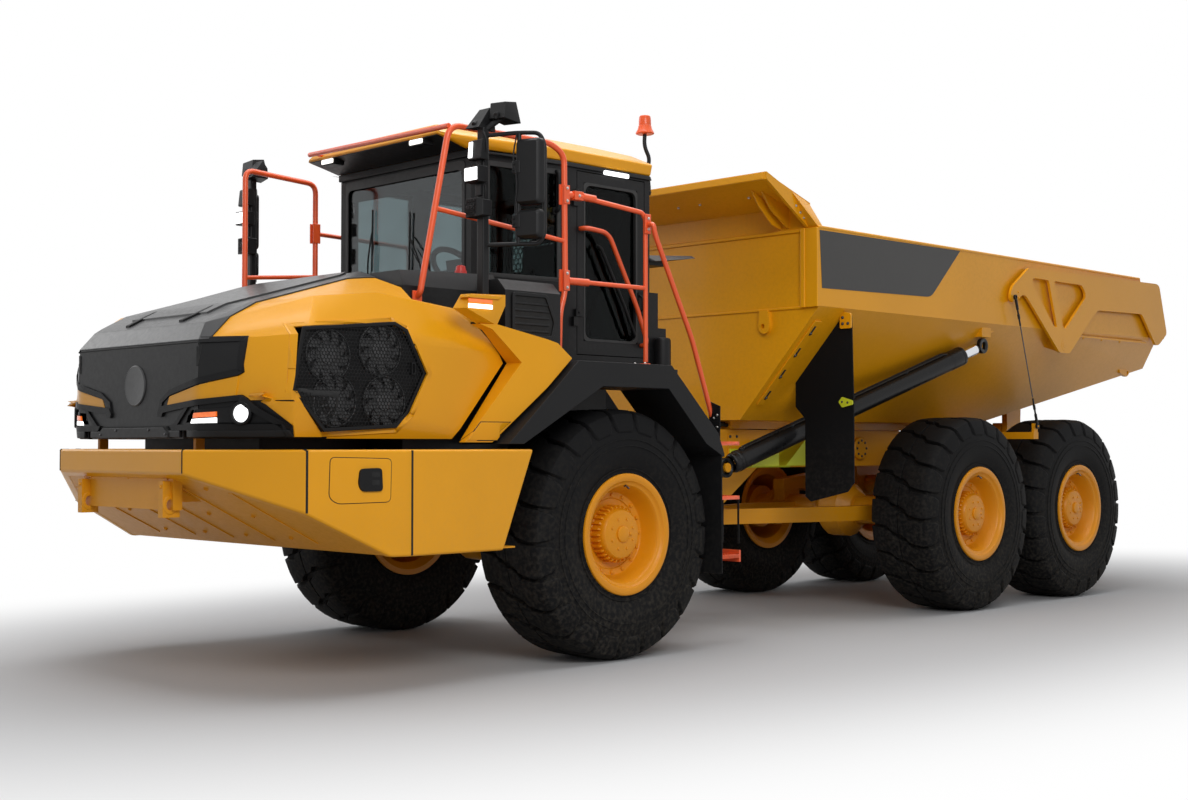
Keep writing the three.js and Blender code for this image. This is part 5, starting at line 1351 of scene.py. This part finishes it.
# Rear guard of the cab, beacon and boxes behind it.
guardY = 830.3
guard = Shape()
outerFrame = [(-780, 2640), (780, 2640), (760, 3200), (-760, 3200)]
innerFrame = [(-742, 2678), (742, 2678), (724, 3164), (-724, 3164)]
guard.ringPrism("y", outerFrame, innerFrame, guardY, guardY + 25)
guard.block((-12, 12), (guardY, guardY + 22), (2660, 3190))
guard.block((-790, 790), (guardY, guardY + 170), (2620, 2655))
for side in (-1, 1):
    guard.hull([(side * 700, guardY, 2640), (side * 860, guardY, 2640), (side * 940, guardY + 330, 2680),
                (side * 900, guardY + 330, 2700), (side * 700, guardY + 60, 2700), (side * 700, guardY + 60, 2640)])
guard.block((690, 750), (guardY, guardY + 70), (3120, 3190))
guard.prism("x", roundedOutline([(guardY + 20, 3120), (guardY + 90, 3120), (guardY + 80, 3260),
                                 (guardY + 30, 3280)], 20), 706, 734)
guard.tube([(720, guardY + 62, 3200), (720, guardY + 62, 3300), (738, guardY + 70, 3380), (716, guardY + 36, 3470),
            (720, guardY + 40, 3570)], 14, 14, 60, steps=8)
for z in (3140, 3230):
    guard.turn((752, guardY + 55, z), (1, 0, 0), [(12, -14), (12, 4), (8, 8)], 6)
makePiece("cab_guard_frame", "root", guard, "dark", 3, 3, 36, ("cab_guard",))
netting = honeycomb(Shape(), innerFrame, 46, 5, lambda u, v, w: (u, guardY + 8 + w, v), 4)
makePiece("cab_guard_netting", "root", netting, "dark", 0)
beacon = Shape().turn((720, guardY + 40, 3552), (0, 0, 1), [(58, 0), (66, 4), (64, 14), (52, 34), (46, 60),
                                                            (42, 64), (44, 68), (43, 100), (40, 124), (34, 132),
                                                            (0, 133)], 36)
makePiece("beacon_cap", "root", beacon, "beacon", 1.5, 2)

boxes, hoses, fittings = Shape(), Shape(), Shape()
for k in range(6):
    boxes.block((440, 780), (1008, 1014), (1930 + 38 * k, 1950 + 38 * k))
boxes.prism("y", roundedBox((456, 2200), (744, 2400), 20), 955, 966)
boxes.turn((830, 930, 1880), (0, 0, 1), [(60, 0), (60, 210), (52, 226), (24, 232), (0, 232)], 32)
boxes.block((-700, -250), (832, 1000), (1880, 2120)).block((-180, 180), (832, 940), (1880, 2020))
makePiece("boxes_behind_cab", "root", boxes, "dark", 8, 3)
for k, (x, drop, reach) in enumerate(((520, 1480, 1120), (575, 1440, 1180), (630, 1400, 1220), (690, 1380, 1260))):
    hoses.tube([(x, 1012, 2090 - 40 * k), (x, 1085, 2080 - 40 * k), (x - 10, 1150, 1900), (x - 40, reach, drop),
                (x - 130, reach - 10, 1330), (380, 1000, 1180)], 16, 12, 110, steps=6)
    fittings.turn((x, 1008, 2090 - 40 * k), (0, 1, 0), [(21, 0), (21, 22), (17, 24), (17, 40)], 6)
makePiece("looping_hoses", "root", hoses, "hose", 0)
makePiece("hose_fittings", "root", fittings, "steel", 1)
print("cab rear made")


# Dump body: grey panel, sill line, canopy plates, lugs, side strips and brackets.
stripe = Shape().prism("x", [(2060, 2930)] + [(3949, 2941)]
                       + roundedOutline([(3949, 2941), (3519, 2536), (2086, 2506)], 60)[5:10] + [(2086, 2506)],
                       1349, 1352)
makePiece("body_side_blank_panel", "body", stripe.mirrored(), "stripe", 0)

bodyTrim = Shape()
bodyTrim.tube([(1343, 2052, 2952), (1343, 7128, 2952)], 13, 10)
bodyTrim.block((1200, 1352), (2028, 2052), (2368, 2950)).block((1200, 1240), (2020, 2052), (2368, 2952))
bodyTrim.prism("x", [(5330, 2332), (7240, 2332), (7240, 2352), (5330, 2352)], 1342, 1355)
for y in (5400, 6000, 6350, 6700):
    bodyTrim.block((1343, 1358), (y - 6, y + 6), (2318, 2344))
bodyTrim.mirrored()
bodyTrim.block((-1240, 1240), (2034, 2052), (2926, 2952)).block((-1240, 1240), (2040, 2052), (2362, 2380))
makePiece("body_rails_and_posts", "body", bodyTrim, "yellow", 5, 3)

lug = Shape()
lug.plateWithHoles("y", roundedOutline([(790, 2366), (812, 2366), (804, 2230), (840, 2190), (890, 2196),
                                        (914, 2240), (900, 2366)], 24), [roundHole(846, 2248, 20, 20)], 2020, 2052)
makePiece("front_wall_lugs", "body", lug.mirrored(), "yellow", 3)

slopeLook = {"top": (1262, 2278), "foot": (709, 1670)}
along = (Vector(slopeLook["foot"]) - Vector(slopeLook["top"])).normalized()
across = Vector((-along.y, along.x))


# a point of the body's sloped wall: u down the slope, v out of it
def onSlope(side, u, v, y):
    p = Vector(slopeLook["top"]) + along * u + across * v
    return side * p.x, y, p.y


def slopeBar(shape, side, u0, u1, v0, v1, y0, y1):
    rows = ((u0, v0), (u1, v0), (u1, v1), (u0, v1))
    shape.loft([[onSlope(side, u, v, y) for u, v in rows] for y in (y0, y1)])


edgeStrip = Shape()
for side in (-1, 1):
    slopeBar(edgeStrip, side, 0, 820, 0, 14, 2110, 2190)
makePiece("sloped_wall_strips", "body", edgeStrip, "yellow", 3, 3)
slotHoles, slotBolts = Shape(), Shape()
for side in (-1, 1):
    for u in (90, 300, 510, 720):
        slopeBar(slotHoles, side, u - 44, u + 44, -2, 15.4, 2140, 2162)
        slotBolts.bolt(onSlope(side, u + 24, 14, 2151), (side * across.x, 0, across.y), 11)
makePiece("strip_slots", "body", slotHoles, "void", 0)
makePiece("strip_bolts", "body", slotBolts, "darkSteel", 1)

flapBits = Shape()
flapBits.prism("y", roundedOutline([(1290, 2226), (1392, 2226), (1392, 2338), (1330, 2352), (1290, 2310)], 16),
               2380, 2399)
makePiece("flap_brackets", "body", flapBits.mirrored(), "yellow", 3, 3)
flapTags, flapBolts = Shape(), Shape()
flapTags.prism("y", roundedOutline([(1268, 1680), (1300, 1638), (1398, 1658), (1398, 1688), (1300, 1718)], 10),
               2390, 2399.6)
for x, z in ((1318, 2262), (1366, 2262), (1318, 2308)):
    flapBolts.bolt((x, 2381, z), (0, -1, 0), 10)
for x, z in ((1302, 1680), (1352, 1674)):
    flapBolts.bolt((x, 2391, z), (0, -1, 0), 7)
flapTags.mirrored()
flapBolts.mirrored()
makePiece("flap_tags", "body", flapTags, "chock", 1.5)
makePiece("flap_bolts", "body", flapBolts, "darkSteel", 1)

canopyBits, canopyBolts = Shape(), Shape()
for side in (-1, 1):
    canopyBits.prism("x", [(2046, 2962), (2046, 3110), (1880, 3150), (1700, 3216), (1780, 3110), (1930, 2990)],
                     side * 1000, side * 1012)
canopyBits.block((-1232, 1232), (1556, 1566), (3258, 3306))
makePiece("canopy_gussets", "body", canopyBits, "yellow", 3, 3)
for x in (200, 420, 900):
    canopyBolts.bolt((x, 1800, 3186), (0, -0.35, -0.94), 9)
for y, z in ((1990, 3020), (1950, 3056), (1900, 3100)):
    canopyBolts.bolt((1260, y, z), (1, 0, 0), 9)
makePiece("canopy_bolts", "body", canopyBolts.mirrored(), "steel", 0.8)

# hoist pins' clevis plates, side stiffener and rear hooks
bodyLugs = Shape()
bodyLugs.hull([(1256, 4300, 2300), (1300, 4300, 2330), (1256, 4560, 2330), (1300, 4700, 2366), (1300, 4200, 2366),
               (1256, 4200, 2366), (1256, 4700, 2366), (1300, 4480, 2290), (1256, 4480, 2290)])
makePiece("hoist_lug_gussets", "body", bodyLugs.mirrored(), "yellow", 4, 3)
hooks = Shape()
for side in (-1, 1):
    hooks.plateWithHoles("x", roundedOutline([(7090, 2180), (7100, 2060), (7240, 2018), (7296, 2050), (7300, 2120),
                                              (7240, 2300), (7100, 2300)], 26), [roundHole(7262, 2062, 17, 18)],
                         side * 1120, side * 1150)
makePiece("rear_lifting_hooks", "body", hooks, "yellow", 4, 3)
# the reflector discs carry a faint painted glow in place of reflected light
reflectors = Shape()
for side in (-1, 1):
    reflectors.turn((side * 1151, 7170, 2230), (side, 0, 0), [(28, -1), (28, 5), (22, 7), (0, 7)], 20)
makePiece("rear_reflectors", "body", reflectors, "redLensPaintedGlow", 1)
print("dump body made")

# Tailgate arms with their struts, boss and bolts.
gateLook = {"inner": 1375, "outer": 1399}
armOutline = roundedOutline([(4960, 2880), (4690, 2705), (4655, 2640), (4660, 2585), (4700, 2565), (4750, 2585),
                             (4850, 2640), (4900, 2640), (4960, 2600), (5480, 2172), (5660, 2172), (6090, 2520),
                             (6190, 2590), (7063, 2608), (7351, 2320), (7420, 2330), (7591, 2444), (7440, 2900),
                             (7386, 2919), (7049, 2914)], 34, 3)
armHoles = [roundedOutline([(5030, 2800), (5015, 2745), (5395, 2395), (5440, 2395), (5300, 2800)], 26, 3),
            roundedOutline([(5395, 2800), (5545, 2400), (5590, 2390), (5960, 2690), (5955, 2740), (5890, 2800)], 26,
                           3)]
arms = Shape()
arms.plateWithHoles("x", armOutline, armHoles, gateLook["inner"], gateLook["outer"])
arms.turn((gateLook["outer"] - 2, 5570, 2245), (1, 0, 0), [(56, 0), (56, 3), (50, 4), (46, 3), (30, 3), (28, 4),
                                                           (0, 4)], 32)
for y, z in ((4780, 2660), (4790, 2610)):
    arms.bolt((gateLook["outer"], y, z), (1, 0, 0), 8)
arms.mirrored()
pane = [(7440, 2900), (7415, 2895), (7560, 2440), (7490, 2395), (7500, 2380), (7591, 2444)]
arms.prism("x", pane, -gateLook["inner"] - 1, gateLook["inner"] + 1)
for x in (-900, -450, 0, 450, 900):
    arms.prism("x", [(7432, 2900), (7420, 2880), (7540, 2480), (7566, 2440)], x - 14, x + 14)
for side in (-1, 1):
    for z in (2400, 2520, 2640, 2760):
        y = 7591 - (z - 2444) * 0.331 if z > 2444 else 7540
        arms.block((side * 1376, side * 1394), (y - 26, y - 4), (z - 9, z + 9))
makePiece("tailgate_detail", "gate", arms, "yellow", 3, 2, 38, ("tailgate",))
print("tailgate made")

# rope, hook and turnbuckle that open the tailgate
for label, side in (("left", 1), ("right", -1)):
    low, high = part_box(f"{label}_gate_wire")
    lowAt, highAt = toTruck(low), toTruck(high)
    x = (lowAt.x + highAt.x) / 2
    foot, head = Vector((x, highAt.y - 22, lowAt.z + 22)), Vector((x, lowAt.y + 22, highAt.z - 22))
    way = (head - foot).normalized()
    rope, ropeEnds = Shape(), Shape()
    rope.tube([foot + way * 260, head - way * 210], 5, 10)
    for end, sign in ((foot, 1), (head, -1)):
        rows = ((14, -8), (22, -8), (22, 8), (14, 8))
        ropeEnds.loft([[end + Vector((w, radius * math.cos(t), radius * math.sin(t))) for t in angles(24)]
                       for radius, w in rows], closed=True)
        for start, stop, radius, sides in ((18, 110, 12, 12), (110, 250, 8, 10), (150, 190, 12, 6)):
            ropeEnds.tube([end + way * sign * start, end + way * sign * stop], radius, sides)
    makePiece(f"{label}_gate_rope", f"{label}_gate_wire", rope, "darkSteel", 0, 2, 38, (f"{label}_gate_wire",))
    makePiece(f"{label}_gate_rope_ends", f"{label}_gate_wire", ropeEnds, "cylinder", 1)
print("gate ropes made")

# rams: smooth barrels with collars and pipes, chromed rods with forked ends
ramLook = {"hoist": ((660, 1780, 1190), (1278, 4400, 2190), 2600, 80, 45, 110, 35, 90, 36, (1, 0, 0)),
           "steer": ((470, 250, 950), (330, 1420, 950), 720, 55, 30, 360, 25, 76, 70, (0, 0, 1))}


def eyeRing(shape, centre, axis, outer, inner, half, flare=0):
    axis = Vector(axis)
    side = axis.orthogonal().normalized()
    rows = ((inner, 0), (inner + flare, -half), (outer - 4, -half), (outer, -half + 4), (outer, half - 4),
            (outer - 4, half), (inner + flare, half))
    shape.loft([circle(centre + axis * w, side, axis.cross(side), radius, 32) for radius, w in rows], closed=True)


for kind, (foot, head, length, radius, rodRadius, tail, pin, eyeWidth, rodEye, axis) in ramLook.items():
    foot, head = Vector(foot), Vector(head)
    way = (head - foot).normalized()
    total = (head - foot).length
    barrel, barrelTrim, rodShape = Shape(), Shape(), Shape()
    bore = rodRadius + 1.2
    barrel.turn(foot, way, [(bore, radius + 12), (radius - 14, radius - 8), (radius - 2, radius + 20),
                            (radius - 2, length - 150), (radius, length - 148), (radius, length - 40),
                            (radius - 3, length - 34), (radius - 3, length - 26), (radius, length - 22),
                            (radius, length + 4), (radius - 6, length + 8), (bore + 6, length + 8),
                            (bore, length + 6)], 40, True)
    collar = length * 0.02 + radius
    barrel.turn(foot, way, [(radius - 6, collar), (radius + 2, collar + 2), (radius + 2, collar + 30),
                            (radius - 6, collar + 34)], 40, True)
    eyeRing(barrel, foot, axis, radius * 0.94, pin + 1.2, eyeWidth / 2, 14 if kind == "hoist" else 1)
    if kind == "hoist":
        side = Vector((0.2, -0.3, 1)).normalized()
        for shift in (-13, 13):
            across = way.cross(side).normalized()
            barrelTrim.tube([foot + way * reach + across * shift + side * (radius + rise) for reach, rise in
                             ((190, -14), (200, 9), (length - 210, 9), (length - 160, -16))], 7, 10, 30)
        for place in (190, 700, 1350, 1950, length - 190):
            centre = foot + way * place + side * (radius + 1)
            barrelTrim.turn(centre, side, [(24, -10), (24, 6), (18, 9), (0, 9)], 6)
    rodShape.turn(foot, way, [(0, tail), (rodRadius, tail), (rodRadius, total - pin - 62),
                              (rodRadius * 0.86, total - pin - 50)], 40)
    eyePart = Shape()
    eyeRing(eyePart, head, axis, pin * 1.86, pin + 0.4, rodEye / 2)
    eyePart.turn(foot, way, [(rodRadius * 0.9, total - pin - 62), (rodRadius * 0.96, total - pin - 50),
                             (rodEye / 2 + 3, total - pin - 24), (rodEye / 2 - 1, total - pin - 3)], 28)
    for label, sign in (("left", 1), ("right", -1)):
        for part, shape, finish, body in (("barrel", barrel, "cylinder", "barrel"),
                                          ("rod", rodShape, "chrome", "rod"),
                                          ("rod_eye", eyePart, "cylinder", "rod")):
            stands = (f"{label}_{kind}_{part}",) if part != "rod_eye" else ()
            makePiece(f"{label}_{kind}_{part}_detail", f"{label}_{kind}_{body}", shape.onSide(sign), finish, 0, 1,
                      30, stands)
        if barrelTrim.points:
            makePiece(f"{label}_{kind}_pipes", f"{label}_{kind}_barrel", barrelTrim.onSide(sign), "cylinder", 1)
print("rams made")

# rear frame: bolted plates, hoses over the hitch and side details
frameBits, frameHoses, frameBolts = Shape(), Shape(), Shape()
for side in (-1, 1):
    for y in (2140, 3100, 3560, 4560):
        frameBits.block((side * 398, side * 408), (y, y + 120), (1210, 1450))
    frameBits.turn((side * 400, 3860, 1330), (side, 0, 0), [(96, -2), (96, 26), (86, 34), (0, 34)], 36)
    frameBits.turn((side * 400, 5780, 1330), (side, 0, 0), [(80, -2), (80, 20), (70, 26), (0, 26)], 36)
    for y, z in roundHole(3860, 1330, 66, 8):
        frameBolts.bolt((side * 434, y, z), (side, 0, 0), 9)
    for y in (2160, 2240, 3120, 3200, 3580, 3660):
        for z in (1235, 1425):
            frameBolts.bolt((side * 408, y, z), (side, 0, 0), 10)
frameBits.block((-300, 300), (1690, 1702), (800, 1200))
makePiece("rear_frame_plates", "rear_unit", frameBits, "frameYellow", 4, 3)
for k, (x, z) in enumerate(((300, 1478), (340, 1492), (372, 1478), (250, 1490))):
    frameHoses.tube([(x, 1780, z - 90), (x, 1830, z + 20), (x + 20, 2000, z + 34 + 4 * k), (x + 14, 2300, z + 26),
                     (x - 8, 2620, z + 14), (x - 20, 2700, z - 20)], 14, 10, 90)
makePiece("rear_frame_hoses", "rear_unit", frameHoses, "hose", 0)
makePiece("rear_frame_bolts", "rear_unit", frameBolts, "darkSteel", 1)

# flexible curtain behind the front wheel and its bolts
curtain, curtainBolts = Shape(), Shape()
for side in (-1, 1):
    curtain.prism("y", [(side * 1340, 1130), (side * 1400, 1120), (side * 1408, 1620), (side * 1300, 1660)], 873,
                  879)
makePiece("fender_curtains", "root", curtain, "hose", 1.5)
for side in (-1, 1):
    for z in (1560, 1480, 1400):
        curtainBolts.bolt((side * 1380, 874, z), (0, -1, 0), 8)
        curtainBolts.bolt((side * 1350, 874, z - 20), (0, -1, 0), 8)
makePiece("fender_curtain_bolts", "root", curtainBolts, "steel", 1)
print("frame details made")
